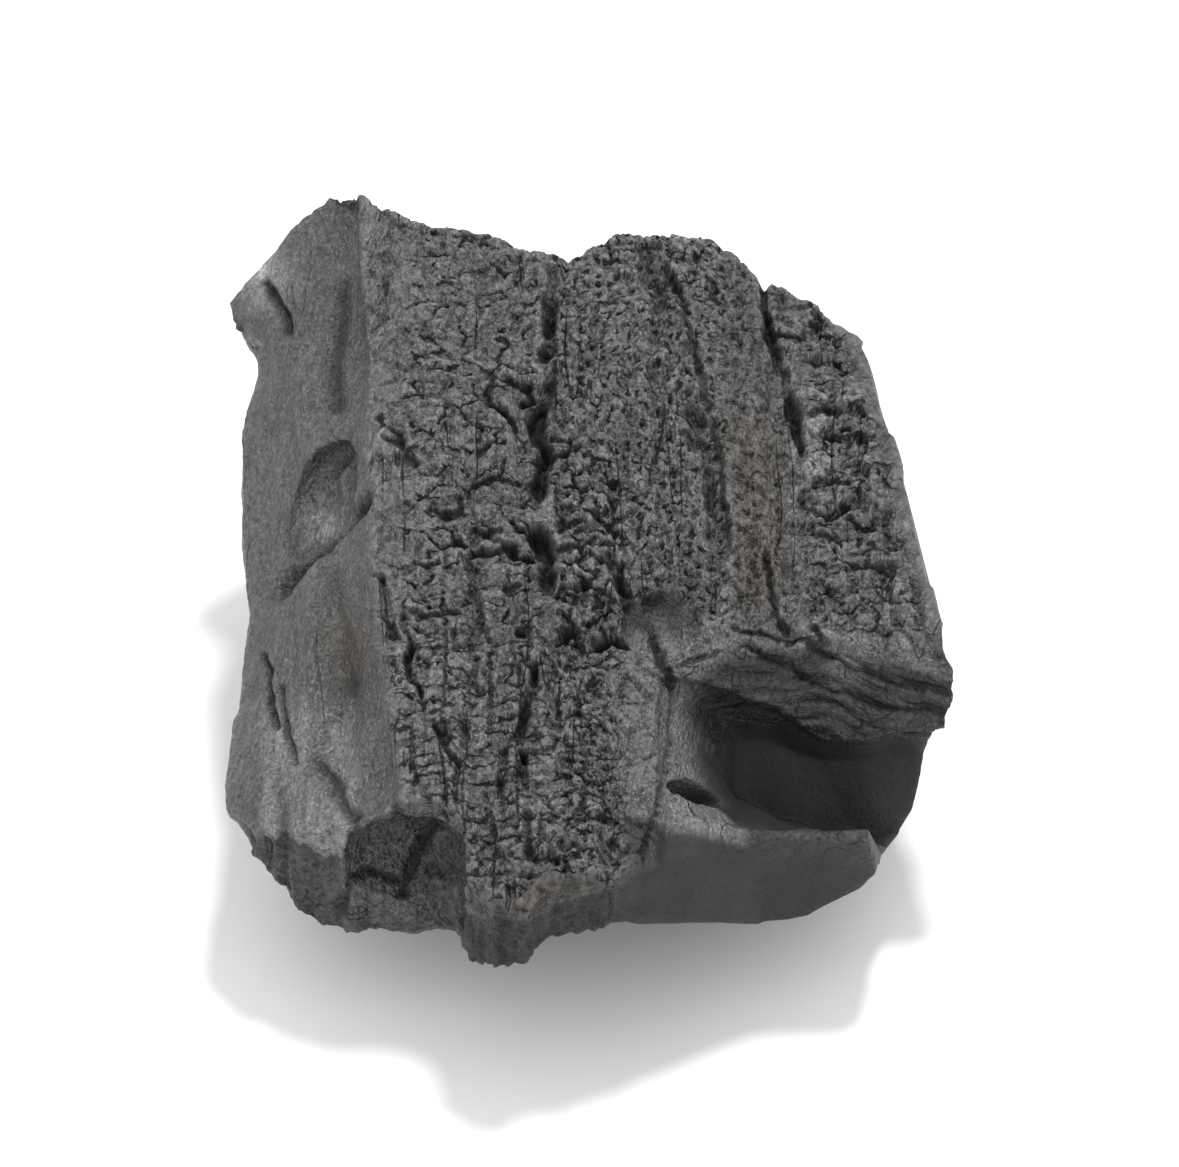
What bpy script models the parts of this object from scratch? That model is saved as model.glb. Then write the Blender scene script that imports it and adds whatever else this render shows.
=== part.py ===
"""Charcoal lump: a block split from a charred log, with its cracked bark face up.

The block is drawn in its own wood axes, in millimetres: x runs across the bark
face, s along the grain from the front end to the back end, and h out of the bark
face. The grain rises to the back, and the lump rests on a flat spot of its belly.
The broken and split faces are cut first. Then the whole skin is made even, the
bark is raised in blocks and cracks, and the torn sides get ridges and splinters.
"""
import math

import bmesh
import bpy
import numpy as np
from mathutils import Matrix, Vector, noise

MM = 0.001

# Driving dimensions
GRAIN_TILT = math.radians(18)
BARK_HEIGHT = 59.0
CENTRE_SHIFT = (0.7, 6.95)
GRAIN_FRONT = -72
GRAIN_BACK = 60
STATION_STEP = 3
FRONT_LEAN = -0.325
BACK_LEAN = -0.2
CUTTER_TOP = 30
CUTTER_LOW = -110
CUTTER_FAR = 130

# Skin
VOXEL = 0.75
TRIANGLES = 11400
NORMAL_ROUNDS = 8

# Bark relief
BARK_ARCH = 1.5
BARK_MIDDLE = 4
BARK_HALF_WIDTH = 40
SWELL_HEIGHT = 1.3
RIB_HEIGHT = 0.7
BLOCK_SIZE = 4.2
BLOCK_STEP = 0.5
BLOCK_GAP = 0.5

# Torn relief
RIDGE_HEIGHT = 2.6
FINE_RIDGE_HEIGHT = 1.1
FLAKE_STEP = 1.6
SPLINTER_STEP = 1.5
BUNDLE_SIZE = 12.0
BUNDLE_STEP = 2.2

# Bend of the whole block
WARP_WIDE = 1.4
WARP_FINE = 0.4

# Long edges of the split block, as (s, x, h) from the front end to the back end
BARK_LEFT = ((-72, -22, 0), (-50, -25, 0), (-30, -28, 0), (0, -31, -1), (20, -31, -1), (54, -34, 1))
FLANK = ((-72, -36, -5), (-50, -38, -6), (-30, -40, -8), (0, -41, -9), (25, -41, -7), (54, -42, -4))
LEFT_WIDE = ((-72, -44, -14), (-56, -48, -14), (-45, -50.5, -15), (-30, -50, -16), (-14, -49.5, -16),
             (0, -51, -16), (16, -51.5, -15), (26, -48, -14), (32, -53, -14), (40, -54, -14), (46, -50, -12),
             (54, -42, -12))
LEFT_KEEL = ((-72, -38, -19), (-58, -39, -25), (-50, -42, -29), (-40, -45, -34), (0, -44, -46), (15, -41, -50),
             (38, -40, -44), (64, -36, -34))
BELLY_LEFT = ((-72, -14, -12), (-66, -15, -18), (-58, -18, -27), (-50, -21, -34), (-40, -23, -43), (-31, -22, -52),
              (-18, -20, -58), (15, -18, -68), (26, -18, -62), (38, -17, -52), (64, -16, -36))
BELLY_RIGHT = ((-72, 4, -5), (-66, 4, -9), (-60, 12, -17), (-57, 22, -26), (-50, 22, -33), (-40, 23, -43),
               (-31, 24, -52), (-18, 25, -58), (15, 22, -68), (26, 19, -60), (38, 15, -50), (64, 12, -36))
RIGHT_KEEL = ((-72, 26, -15), (-58, 31, -25), (-50, 38, -29), (-40, 44.5, -33), (-25, 45.5, -38), (0, 43, -44),
              (15, 41, -48), (38, 32, -40), (64, 24, -34))
RIGHT_WIDE = ((-72, 42, -9), (-54, 44, -12), (-40, 47.5, -16), (-25, 48, -17), (0, 46, -18), (25, 40, -18),
              (64, 24, -24))
BARK_RIGHT = ((-72, 43, -5), (-36, 50.5, -6.5), (-28, 51, -6), (-23, 49, -5), (-15, 47, -4), (-5, 45, -3),
              (8, 42, -3), (20, 39, -4), (30, 36, -6), (40, 26, -8), (54, 16, -12))
LONG_EDGES = (BARK_LEFT, FLANK, LEFT_WIDE, LEFT_KEEL, BELLY_LEFT, BELLY_RIGHT, RIGHT_KEEL, RIGHT_WIDE, BARK_RIGHT)

# Plan of the broken ends, as (x, s) at the bark
FRONT_END = ((-60, -30), (-50, -40), (-46, -48), (-34, -52), (-22, -51), (-18, -54), (-17, -63), (-14.5, -64),
             (-13, -67), (-8.5, -67.5), (-6.5, -64), (0, -62.5), (7, -59.5), (15, -55.5), (25, -49.5), (38, -49),
             (44, -47), (48, -40), (60, -25))
BACK_END = ((-60, 34), (-50, 42), (-43, 47), (-38, 48.5), (-32, 46), (-22, 43), (-14, 43), (-7, 39.5), (-2, 39),
            (4, 45), (11, 44), (18, 45), (25, 37.5), (34, 34), (38, 26), (44, 19), (60, 12))

# The hollow in the front right corner, as profiles (s, h) at each x: bark edge, lip, wall, floor, front ridge
CORNER = (
    (4, ((-28, 4), (-31, 3), (-33, 3), (-36, 3), (-40, 2), (-46, 1), (-56, -1), (-90, -3))),
    (8, ((-28, 0.5), (-31, 0), (-33, -0.5), (-36, -0.8), (-40, -1), (-46, -1.5), (-52, -2.2), (-90, -3.5))),
    (11, ((-27, -0.5), (-30, -2), (-30, -5), (-34, -6), (-39, -6), (-45, -5), (-52, -4), (-90, -4))),
    (16, ((-23.5, -1), (-30.5, -5), (-29, -9), (-31, -13), (-38, -13), (-44, -11), (-51.5, -5.5), (-90, -5))),
    (21, ((-22, -1.5), (-31.5, -7), (-29.5, -13), (-32, -20), (-39, -24), (-46, -16), (-51, -9), (-90, -9))),
    (27, ((-21.5, -1.8), (-33, -9), (-30.5, -15), (-32.5, -21), (-41, -27), (-46.5, -18), (-51.5, -10),
          (-90, -10))),
    (33, ((-21.8, -2), (-35, -14), (-33, -18), (-33.5, -23), (-42, -29), (-47, -19), (-51.5, -10), (-90, -10))),
    (38.5, ((-22.6, -3.4), (-35, -12), (-33, -17), (-33.5, -22), (-42, -29), (-46.5, -20), (-50.5, -10),
            (-90, -10))),
    (42.5, ((-23, -4), (-34, -10.5), (-32, -15), (-33, -21.5), (-41.5, -28), (-45, -27), (-48, -27), (-90, -27))),
    (60, ((-28, -6), (-33.5, -9), (-31, -14), (-32.5, -21), (-41, -27), (-44, -27), (-47, -27), (-90, -27))),
)

# Shell-shaped hollows, as (name, centre, radii, turn about h)
HOLLOWS = (
    ("small_scoop", (10, -22.5, 0.8), (6.8, 7, 6), 0.4),
    ("small_scoop_low", (14.5, -27, 3), (6, 6, 7), 0.0),
    ("flank_scoop", (-41.5, -2.5, -2.8), (5.8, 12, 9), -0.63),
    ("tip_saddle", (-50, 25, 4), (8, 14, 16), 0.0),
    ("end_scoop", (-25.5, -60, -9), (10.5, 10.5, 9.5), -0.2),
    ("crescent", (16, -45.6, -9), (7.5, 2.3, 6), 0.1),
    ("right_spall", (63, -2, -26), (20.5, 28, 15), 0.08),
    ("right_low_spall", (55, 24, -52), (21, 22, 19), 0.3),
    ("back_spall", (24, 61, -32), (17, 25, 15), 0.0),
    ("back_left_spall", (-26, 62, -26), (18, 22, 17), 0.2),
    ("left_low_spall", (-60, -12, -42), (17, 26, 12), 0.1),
    ("belly_spall", (2, -56, -58), (20, 20, 22), 0.0),
)

# Long swellings of the bark, as (middle x, half width, front s, back s, height)
SWELLINGS = (
    (-1, 4, -25, 9, 1.2),
    (1, 6, -80, -28, 1.0),
    (38, 5, -80, 80, 0.8),
)

# Cracks and furrows of the bark and of the split sides, as (path of (x, s), half width, depth)
CRACKS = (
    (((-5.2, 36), (-5.5, 26), (-6.5, 5), (-6.8, -24)), 1.5, 4.5),
    (((-8, -30), (-8.8, -36), (-9.2, -44)), 1.2, 3.5),
    (((-9.2, -44), (-9, -52), (-8, -60)), 0.9, 1.8),
    (((8, 40), (13, 22), (16.5, 4), (18.5, -13)), 2.2, 1.6),
    (((25, 38), (25.5, 32), (27, 25), (29, 18), (31, 5)), 0.9, 3.0),
    (((-25.5, -20), (-24.5, -33), (-21, -41), (-18.5, -44), (-18, -51)), 0.9, 2.4),
    (((-10, -24.5), (-6, -26.2), (-3, -25), (0, -26.6), (3, -25.2), (6, -25)), 1.0, 3.0),
    (((2, -12), (5, -19), (8, -24), (10, -29), (10.5, -33)), 0.8, 2.0),
    (((-16.5, -8), (-16.5, -30), (-16.8, -44)), 0.8, 1.2),
    (((-12.6, -44), (-12.6, -64)), 0.8, 1.8),
    (((-15, -9), (-12, -11), (-8.5, -13)), 0.8, 2.0),
    (((31, -2), (35, -4.5), (38, -3)), 1.0, 1.8),
    (((-31, -14), (-29, -17), (-28, -24)), 0.8, 1.5),
)
SIDE_CRACKS = (
    (((-31, -2.5), (-34, -4), (-38, -6.3), (-44, -12.6)), 1.5, 2.6),
    (((-36, 34), (-37, 22), (-36.5, 14)), 1.2, 1.6),
)

# Radial cracks of the broken back end, as (x at the bark, drift of x for each mm down, depth)
END_CRACKS = ((-27, 0.3, 1.8), (-5, 0.02, 1.0), (9, -0.12, 1.8))


def wood_to_world():
    """Matrix from the wood axes (x, s, h) in millimetres to the world in metres."""
    place = Matrix.Translation(Vector((*CENTRE_SHIFT, BARK_HEIGHT)) * MM)
    return place @ Matrix.Rotation(GRAIN_TILT, 4, "X") @ Matrix.Scale(MM, 4)


def remove_scene_objects():
    for obj in list(bpy.data.objects):
        bpy.data.objects.remove(obj, do_unlink=True)


def mesh_object(name, verts, faces):
    mesh = bpy.data.meshes.new(name)
    mesh.from_pydata(verts, [], faces)
    mesh.update()
    obj = bpy.data.objects.new(name, mesh)
    bpy.context.scene.collection.objects.link(obj)
    return obj


def loft(name, rings):
    """Closed body through rings of equal length, with flat caps, facing out."""
    verts = [p for ring in rings for p in ring]
    n = len(rings[0])
    faces = [tuple(range(n)), tuple(reversed(range(len(verts) - n, len(verts))))]
    for r in range(len(rings) - 1):
        for i in range(n):
            j = (i + 1) % n
            faces.append((r * n + j, r * n + i, (r + 1) * n + i, (r + 1) * n + j))
    obj = mesh_object(name, verts, faces)
    bm = bmesh.new()
    bm.from_mesh(obj.data)
    bmesh.ops.triangulate(bm, faces=bm.faces)
    bmesh.ops.recalc_face_normals(bm, faces=bm.faces)
    bm.to_mesh(obj.data)
    bm.free()
    return obj


def along_edge(edge, s):
    """Place (x, h) of a long edge at s."""
    stations = [p[0] for p in edge]
    return np.interp(s, stations, [p[1] for p in edge]), np.interp(s, stations, [p[2] for p in edge])


def split_block():
    """The block between its long edges."""
    rings = []
    for s in np.arange(GRAIN_FRONT, GRAIN_BACK + 0.1, STATION_STEP):
        ring = []
        for edge in LONG_EDGES:
            x, h = along_edge(edge, s)
            ring.append((x, s, h))
        rings.append(ring)
    return loft("charcoal_lump", rings)


def end_cutter(name, plan, lean, outward):
    """The wood beyond a broken end: a prism over its plan, that leans along s for each mm down."""
    outline = list(plan) + [(plan[-1][0], outward), (plan[0][0], outward)]
    return loft(name, [[(x, s - lean * h, h) for x, s in outline] for h in (CUTTER_TOP, CUTTER_LOW)])


def corner_cutter():
    """The wood missing from the front right corner, with its lip left overhanging."""
    rings = []
    for x, profile in CORNER:
        back, front = profile[0], profile[-1]
        ring = [(x, back[0] + 1, CUTTER_TOP)] + [(x, s, h) for s, h in profile] + [(x, front[0], CUTTER_TOP)]
        rings.append(ring)
    return loft("corner_cutter", rings)


def ball_cutter(name, centre, radii, turn=0.0):
    bm = bmesh.new()
    bmesh.ops.create_icosphere(bm, subdivisions=4, radius=1.0)
    place = Matrix.Translation(Vector(centre)) @ Matrix.Rotation(turn, 4, "Z") @ Matrix.Diagonal((*radii, 1))
    bm.transform(place)
    mesh = bpy.data.meshes.new(name)
    bm.to_mesh(mesh)
    bm.free()
    obj = bpy.data.objects.new(name, mesh)
    bpy.context.scene.collection.objects.link(obj)
    return obj


def cut(body, cutter):
    """Takes the cutter out of the body and removes it."""
    cutter.hide_render = True
    cutter.display_type = "WIRE"
    boolean = body.modifiers.new("cut", "BOOLEAN")
    boolean.operation = "DIFFERENCE"
    boolean.solver = "EXACT"
    boolean.object = cutter
    apply_modifiers(body)
    bpy.data.objects.remove(cutter, do_unlink=True)


def apply_modifiers(obj):
    graph = bpy.context.evaluated_depsgraph_get()
    mesh = bpy.data.meshes.new_from_object(obj.evaluated_get(graph))
    obj.modifiers.clear()
    old = obj.data
    obj.data = mesh
    bpy.data.meshes.remove(old)


def even_skin(body, size):
    remesh = body.modifiers.new("even_skin", "REMESH")
    remesh.mode = "VOXEL"
    remesh.voxel_size = size
    apply_modifiers(body)


def ramp(v, low, high):
    """0 below low, 1 above high, smooth between."""
    t = np.clip((v - low) / (high - low), 0, 1)
    return t * t * (3 - 2 * t)


def distance_to_path(x, s, path):
    """Shortest distance from each point to a path of straight runs."""
    nearest = np.full(len(x), np.inf)
    for (x0, s0), (x1, s1) in zip(path, path[1:]):
        dx, ds = x1 - x0, s1 - s0
        t = np.clip(((x - x0) * dx + (s - s0) * ds) / (dx * dx + ds * ds), 0, 1)
        nearest = np.minimum(nearest, np.hypot(x - x0 - t * dx, s - s0 - t * ds))
    return nearest


def rough(x, s, across, along, seed):
    """Smooth noise with bumps of the given size across and along the grain."""
    return np.array([noise.noise(Vector((a / across, b / along, seed))) for a, b in zip(x, s)])


def nodules(x, s, size, seed):
    """Charred blocks: a height for each cell, and how near a point is to the crack round it."""
    height = np.empty(len(x))
    edge = np.empty(len(x))
    for i, (a, b) in enumerate(zip(x, s)):
        distances, points = noise.voronoi(Vector((a / size, b / size, seed)))
        height[i] = noise.cell(points[0] * 7)
        edge[i] = distances[1] - distances[0]
    return height, edge


def bark_relief(x, s):
    """Height of the bark over the block's flat top, at x across and s along the grain."""
    height = BARK_ARCH * (1 - ((x - BARK_MIDDLE) / BARK_HALF_WIDTH) ** 2)
    for middle, half_width, front, back, rise in SWELLINGS:
        along = ramp(s, front - 2, front + 2) * (1 - ramp(s, back - 4, back + 4))
        height += rise * np.exp(-((x - middle) / half_width) ** 2) * along
    height += SWELL_HEIGHT * rough(x, s, 7, 26, 0.5)
    height += RIB_HEIGHT * rough(x, s, 3, 45, 6.5)
    block, gap = nodules(x + 0.8 * rough(x, s, 3, 3, 2.5), s, BLOCK_SIZE, 4.5)
    height += BLOCK_STEP * block - BLOCK_GAP * (1 - ramp(gap, 0.0, 0.22))
    wobble = 0.7 * rough(x, s, 3, 4, 8.5)
    for path, half_width, depth in CRACKS:
        height -= depth * np.exp(-(distance_to_path(x + wobble, s, path) / half_width) ** 2)
    return height


def clean_corner(x, s):
    """1 in the front right corner, where the wood broke smooth."""
    return ramp(x, 2, 8) * (1 - ramp(s, -26, -20))


def bark_weight(x, s, h, rise):
    """1 on the bark and 0 on every split, broken or scooped face. It fades slowly down a steep wall."""
    left_x, left_h = along_edge(BARK_LEFT, s)
    right_x, right_h = along_edge(BARK_RIGHT, s)
    share = np.clip((x - left_x) / (right_x - left_x), 0, 1)
    under = h - left_h - share * (right_h - left_h)
    wall = (1 - ramp(rise, 0.3, 0.7)) * (1 - clean_corner(x, s))
    weight = np.maximum(ramp(under, -1.2, -0.3), wall * ramp(under, -9, -0.3))
    return weight * ramp(x - left_x, -2, 1.5) * ramp(right_x - x, -1, 3)


def torn_weight(x, s, h):
    """1 where the wood tore rough, 0 on the clean breaks, the thin rims and the flat spot it rests on."""
    thin_front = 0.75 * (1 - ramp(s, -54, -42))
    left_tip = 0.8 * ramp(-x, 28, 44) * ramp(s, 24, 36)
    over_floor = BARK_HEIGHT + s * math.sin(GRAIN_TILT) + h * math.cos(GRAIN_TILT)
    return (1 - clean_corner(x, s)) * (1 - thin_front) * (1 - left_tip) * ramp(over_floor, 1.5, 8)


def rough_split(x, s, h):
    """Ridges, splinters and torn flakes that run with the grain, on the flanks and the belly."""
    around = np.arctan2(h + 22, x) * 34
    ridges = RIDGE_HEIGHT * (0.5 - np.abs(rough(around, s, 14, 90, 21.5)))
    ridges += FINE_RIDGE_HEIGHT * (0.5 - np.abs(rough(around, s, 5, 40, 23.5)))
    flake, gap = nodules(around / 2 + 2 * rough(around, s, 9, 20, 25.5), s / 5, 6.0, 27.5)
    splinter = ramp(rough(around, s, 11, 80, 41.5), -0.04, 0.04) + ramp(rough(around, s, 9, 60, 43.5), 0.06, 0.14)
    below_flank = np.maximum(ramp(-h, 14, 20), ramp(x, 0, 20))
    height = ridges + FLAKE_STEP * flake * ramp(gap, 0, 0.25) + SPLINTER_STEP * (splinter - 0.7) * below_flank
    wobble = 1.2 * rough(x, s, 5, 4, 29.5)
    for path, half_width, depth in SIDE_CRACKS:
        height -= depth * np.exp(-(distance_to_path(x, s + wobble, path) / half_width) ** 2)
    return height - 1.2


def rough_break(x, s, h):
    """Bundles of fibre that tore off at different lengths, and radial cracks, on the ends."""
    sideways = x + 2 * rough(x, h, 7, 7, 31.5)
    upwards = 0.6 * h + 2 * rough(x, h, 6, 6, 37.5)
    bundle, gap = nodules(sideways, upwards, BUNDLE_SIZE, 33.5)
    height = BUNDLE_STEP * bundle * ramp(gap, 0, 0.3) + 1.6 * rough(x, h, 12, 16, 35.5)
    for place, drift, depth in END_CRACKS:
        offset = x - place + drift * h + 1.2 * rough(x, h, 20, 9, 39.5)
        height -= depth * np.exp(-(offset / 1.1) ** 2) * (1 - ramp(-h, 25, 50))
    return height - 1.3


def smooth_normals(mesh, rounds):
    """Unit normals of the vertices, averaged with their neighbours over and over."""
    normal = np.empty(len(mesh.vertices) * 3, np.float32)
    mesh.vertex_normals.foreach_get("vector", normal)
    normal = normal.reshape(-1, 3).astype(float)
    edges = np.empty(len(mesh.edges) * 2, np.int32)
    mesh.edges.foreach_get("vertices", edges)
    one, other = edges.reshape(-1, 2).T
    count = len(normal)
    for _ in range(rounds):
        total = normal.copy()
        for axis in range(3):
            total[:, axis] += np.bincount(one, normal[other, axis], count)
            total[:, axis] += np.bincount(other, normal[one, axis], count)
        normal = total / np.maximum(np.linalg.norm(total, axis=1, keepdims=True), 1e-9)
    return normal


def warp(x, s, h, across, along, seed):
    """A smooth sideways push for each point, so that no face folds over its neighbour."""
    push = np.empty((len(x), 3))
    for axis, apart in enumerate((0, 31, 67)):
        push[:, axis] = [noise.noise(Vector((a / across + seed, b / along + apart, c / across)))
                         for a, b, c in zip(x, s, h)]
    return push


def shape_skin(body):
    """Raises the bark, roughens the split and broken faces and bends the whole block a little."""
    mesh = body.data
    place = np.empty(len(mesh.vertices) * 3, np.float32)
    mesh.vertices.foreach_get("co", place)
    place = place.reshape(-1, 3).astype(float)
    x, s, h = place.T.copy()
    facing = smooth_normals(mesh, 2)
    lean = smooth_normals(mesh, NORMAL_ROUNDS)
    bark = bark_weight(x, s, h, facing[:, 2])
    on_bark = bark > 0
    place[on_bark, 2] += bark[on_bark] * bark_relief(x[on_bark], s[on_bark])
    on_end = ramp(np.abs(lean[:, 1]), 0.3, 0.55)
    side = (1 - on_end) * rough_split(x, s, h) + on_end * rough_break(x, s, h)
    place += (side * (1 - bark) * torn_weight(x, s, h))[:, None] * lean
    place += WARP_WIDE * warp(x, s, h, 22, 26, 3.1)
    place += WARP_FINE * warp(x, s, h, 5, 70, 9.7)
    mesh.vertices.foreach_set("co", place.ravel())
    mesh.update()


def trim_to_floor(body):
    """Flat spot on the belly, where the lump rests."""
    bm = bmesh.new()
    bm.from_mesh(body.data)
    geom = bm.verts[:] + bm.edges[:] + bm.faces[:]
    bmesh.ops.bisect_plane(bm, geom=geom, plane_co=(0, 0, 0), plane_no=(0, 0, 1), clear_inner=True, dist=1e-7)
    edges = [e for e in bm.edges if e.is_boundary]
    bmesh.ops.holes_fill(bm, edges=edges, sides=0)
    bmesh.ops.triangulate(bm, faces=[f for f in bm.faces if len(f.verts) > 3])
    bm.to_mesh(body.data)
    bm.free()


def thin_out(body, triangles):
    mesh = body.data
    mesh.calc_loop_triangles()
    decimate = body.modifiers.new("thin_out", "DECIMATE")
    decimate.decimate_type = "COLLAPSE"
    decimate.ratio = triangles / len(mesh.loop_triangles)
    apply_modifiers(body)


def charcoal_material():
    material = bpy.data.materials.new("charcoal")
    material.use_nodes = True
    shader = material.node_tree.nodes["Principled BSDF"]
    shader.inputs["Base Color"].default_value = (0.045, 0.045, 0.047, 1)
    shader.inputs["Roughness"].default_value = 0.7
    shader.inputs["Metallic"].default_value = 0.0
    return material


def main():
    remove_scene_objects()
    body = split_block()
    cut(body, end_cutter("front_cutter", FRONT_END, FRONT_LEAN, -CUTTER_FAR))
    cut(body, end_cutter("back_cutter", BACK_END, BACK_LEAN, CUTTER_FAR))
    cut(body, corner_cutter())
    for name, centre, radii, turn in HOLLOWS:
        cut(body, ball_cutter(name, centre, radii, turn))
    even_skin(body, VOXEL)
    shape_skin(body)
    body.data.transform(wood_to_world())
    thin_out(body, TRIANGLES)
    trim_to_floor(body)
    body.data.materials.clear()
    body.data.materials.append(charcoal_material())


main()
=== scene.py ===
import math

import bmesh
import bpy
import numpy as np
from bpy.props import FloatProperty, FloatVectorProperty, IntProperty, PointerProperty
from mathutils import Matrix, Vector, noise


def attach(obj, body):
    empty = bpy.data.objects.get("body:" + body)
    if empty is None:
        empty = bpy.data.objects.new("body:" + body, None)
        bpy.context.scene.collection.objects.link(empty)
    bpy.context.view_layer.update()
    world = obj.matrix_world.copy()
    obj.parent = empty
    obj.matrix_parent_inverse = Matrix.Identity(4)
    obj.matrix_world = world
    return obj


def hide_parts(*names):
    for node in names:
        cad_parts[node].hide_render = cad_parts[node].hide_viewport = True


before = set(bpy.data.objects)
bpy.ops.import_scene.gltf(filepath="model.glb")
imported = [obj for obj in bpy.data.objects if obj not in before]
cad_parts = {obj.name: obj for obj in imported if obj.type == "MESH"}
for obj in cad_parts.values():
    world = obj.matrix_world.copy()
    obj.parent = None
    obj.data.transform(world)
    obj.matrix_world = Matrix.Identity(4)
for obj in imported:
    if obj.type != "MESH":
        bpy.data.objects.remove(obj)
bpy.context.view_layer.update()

bl_info = {
    "name": "Charcoal Lump",
    "version": (1, 0, 0),
    "blender": (4, 5, 0),
    "location": "3D View > Sidebar > Charcoal",
    "description": "Makes a lump of charcoal with cracked bark, torn sides and broken ends",
    "category": "Add Mesh",
}

# The lump is drawn in its own wood axes, in millimetres: x runs across the bark face,
# s along the grain from the front end to the back end, and h out of the bark face.
MM = 0.001

GRAIN_TILT = math.radians(18)
BARK_HEIGHT = 59.0
CENTRE_SHIFT = (0.7, 6.95)
GRAIN_FRONT = -72
GRAIN_BACK = 60
STATION_STEP = 3
FRONT_LEAN = -0.325
BACK_LEAN = -0.2
CUTTER_TOP = 30
CUTTER_LOW = -110
CUTTER_FAR = 130

# Bark and torn relief, in millimetres
BARK_ARCH = 1.5
BARK_MIDDLE = 4
BARK_HALF_WIDTH = 40
SWELL_HEIGHT = 1.3
RIB_HEIGHT = 0.7
BLOCK_SIZE = 4.2
BLOCK_STEP = 0.5
BLOCK_GAP = 0.5
RIDGE_HEIGHT = 2.6
FINE_RIDGE_HEIGHT = 1.1
FLAKE_STEP = 1.6
SPLINTER_STEP = 1.5
BUNDLE_SIZE = 12.0
BUNDLE_STEP = 2.2
SPLIT_LET_IN = 1.2
BREAK_LET_IN = 1.3
WARP_WIDE = 1.4
WARP_FINE = 0.4
GIRTH_MIDDLE = -22
GIRTH_RADIUS = 34

# Studio, in metres
AIM = (0.0007, 0.00695, 0.038)
LAMP_PLACE = (0.09, 0.15, 1.05)
FLOOR_HALF_WIDTH = 3.0

# Long edges of the split block, as (s, x, h) from the front end to the back end
BARK_LEFT = ((-72, -22, 0), (-50, -25, 0), (-30, -28, 0), (0, -31, -1), (20, -31, -1), (54, -34, 1))
FLANK = ((-72, -36, -5), (-50, -38, -6), (-30, -40, -8), (0, -41, -9), (25, -41, -7), (54, -42, -4))
LEFT_WIDE = ((-72, -44, -14), (-56, -48, -14), (-45, -50.5, -15), (-30, -50, -16), (-14, -49.5, -16),
             (0, -51, -16), (16, -51.5, -15), (26, -48, -14), (32, -53, -14), (40, -54, -14), (46, -50, -12),
             (54, -42, -12))
LEFT_KEEL = ((-72, -38, -19), (-58, -39, -25), (-50, -42, -29), (-40, -45, -34), (0, -44, -46), (15, -41, -50),
             (38, -40, -44), (64, -36, -34))
BELLY_LEFT = ((-72, -14, -12), (-66, -15, -18), (-58, -18, -27), (-50, -21, -34), (-40, -23, -43), (-31, -22, -52),
              (-18, -20, -58), (15, -18, -68), (26, -18, -62), (38, -17, -52), (64, -16, -36))
BELLY_RIGHT = ((-72, 4, -5), (-66, 4, -9), (-60, 12, -17), (-57, 22, -26), (-50, 22, -33), (-40, 23, -43),
               (-31, 24, -52), (-18, 25, -58), (15, 22, -68), (26, 19, -60), (38, 15, -50), (64, 12, -36))
RIGHT_KEEL = ((-72, 26, -15), (-58, 31, -25), (-50, 38, -29), (-40, 44.5, -33), (-25, 45.5, -38), (0, 43, -44),
              (15, 41, -48), (38, 32, -40), (64, 24, -34))
RIGHT_WIDE = ((-72, 42, -9), (-54, 44, -12), (-40, 47.5, -16), (-25, 48, -17), (0, 46, -18), (25, 40, -18),
              (64, 24, -24))
BARK_RIGHT = ((-72, 43, -5), (-36, 50.5, -6.5), (-28, 51, -6), (-23, 49, -5), (-15, 47, -4), (-5, 45, -3),
              (8, 42, -3), (20, 39, -4), (30, 36, -6), (40, 26, -8), (54, 16, -12))
LONG_EDGES = (BARK_LEFT, FLANK, LEFT_WIDE, LEFT_KEEL, BELLY_LEFT, BELLY_RIGHT, RIGHT_KEEL, RIGHT_WIDE, BARK_RIGHT)

# Plan of the broken ends, as (x, s) at the bark
FRONT_END = ((-60, -30), (-50, -40), (-46, -48), (-34, -52), (-22, -51), (-18, -54), (-17, -63), (-14.5, -64),
             (-13, -67), (-8.5, -67.5), (-6.5, -64), (0, -62.5), (7, -59.5), (15, -55.5), (25, -49.5), (38, -49),
             (44, -47), (48, -40), (60, -25))
BACK_END = ((-60, 34), (-50, 42), (-43, 47), (-38, 48.5), (-32, 46), (-22, 43), (-14, 43), (-7, 39.5), (-2, 39),
            (4, 45), (11, 44), (18, 45), (25, 37.5), (34, 34), (38, 26), (44, 19), (60, 12))

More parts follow.
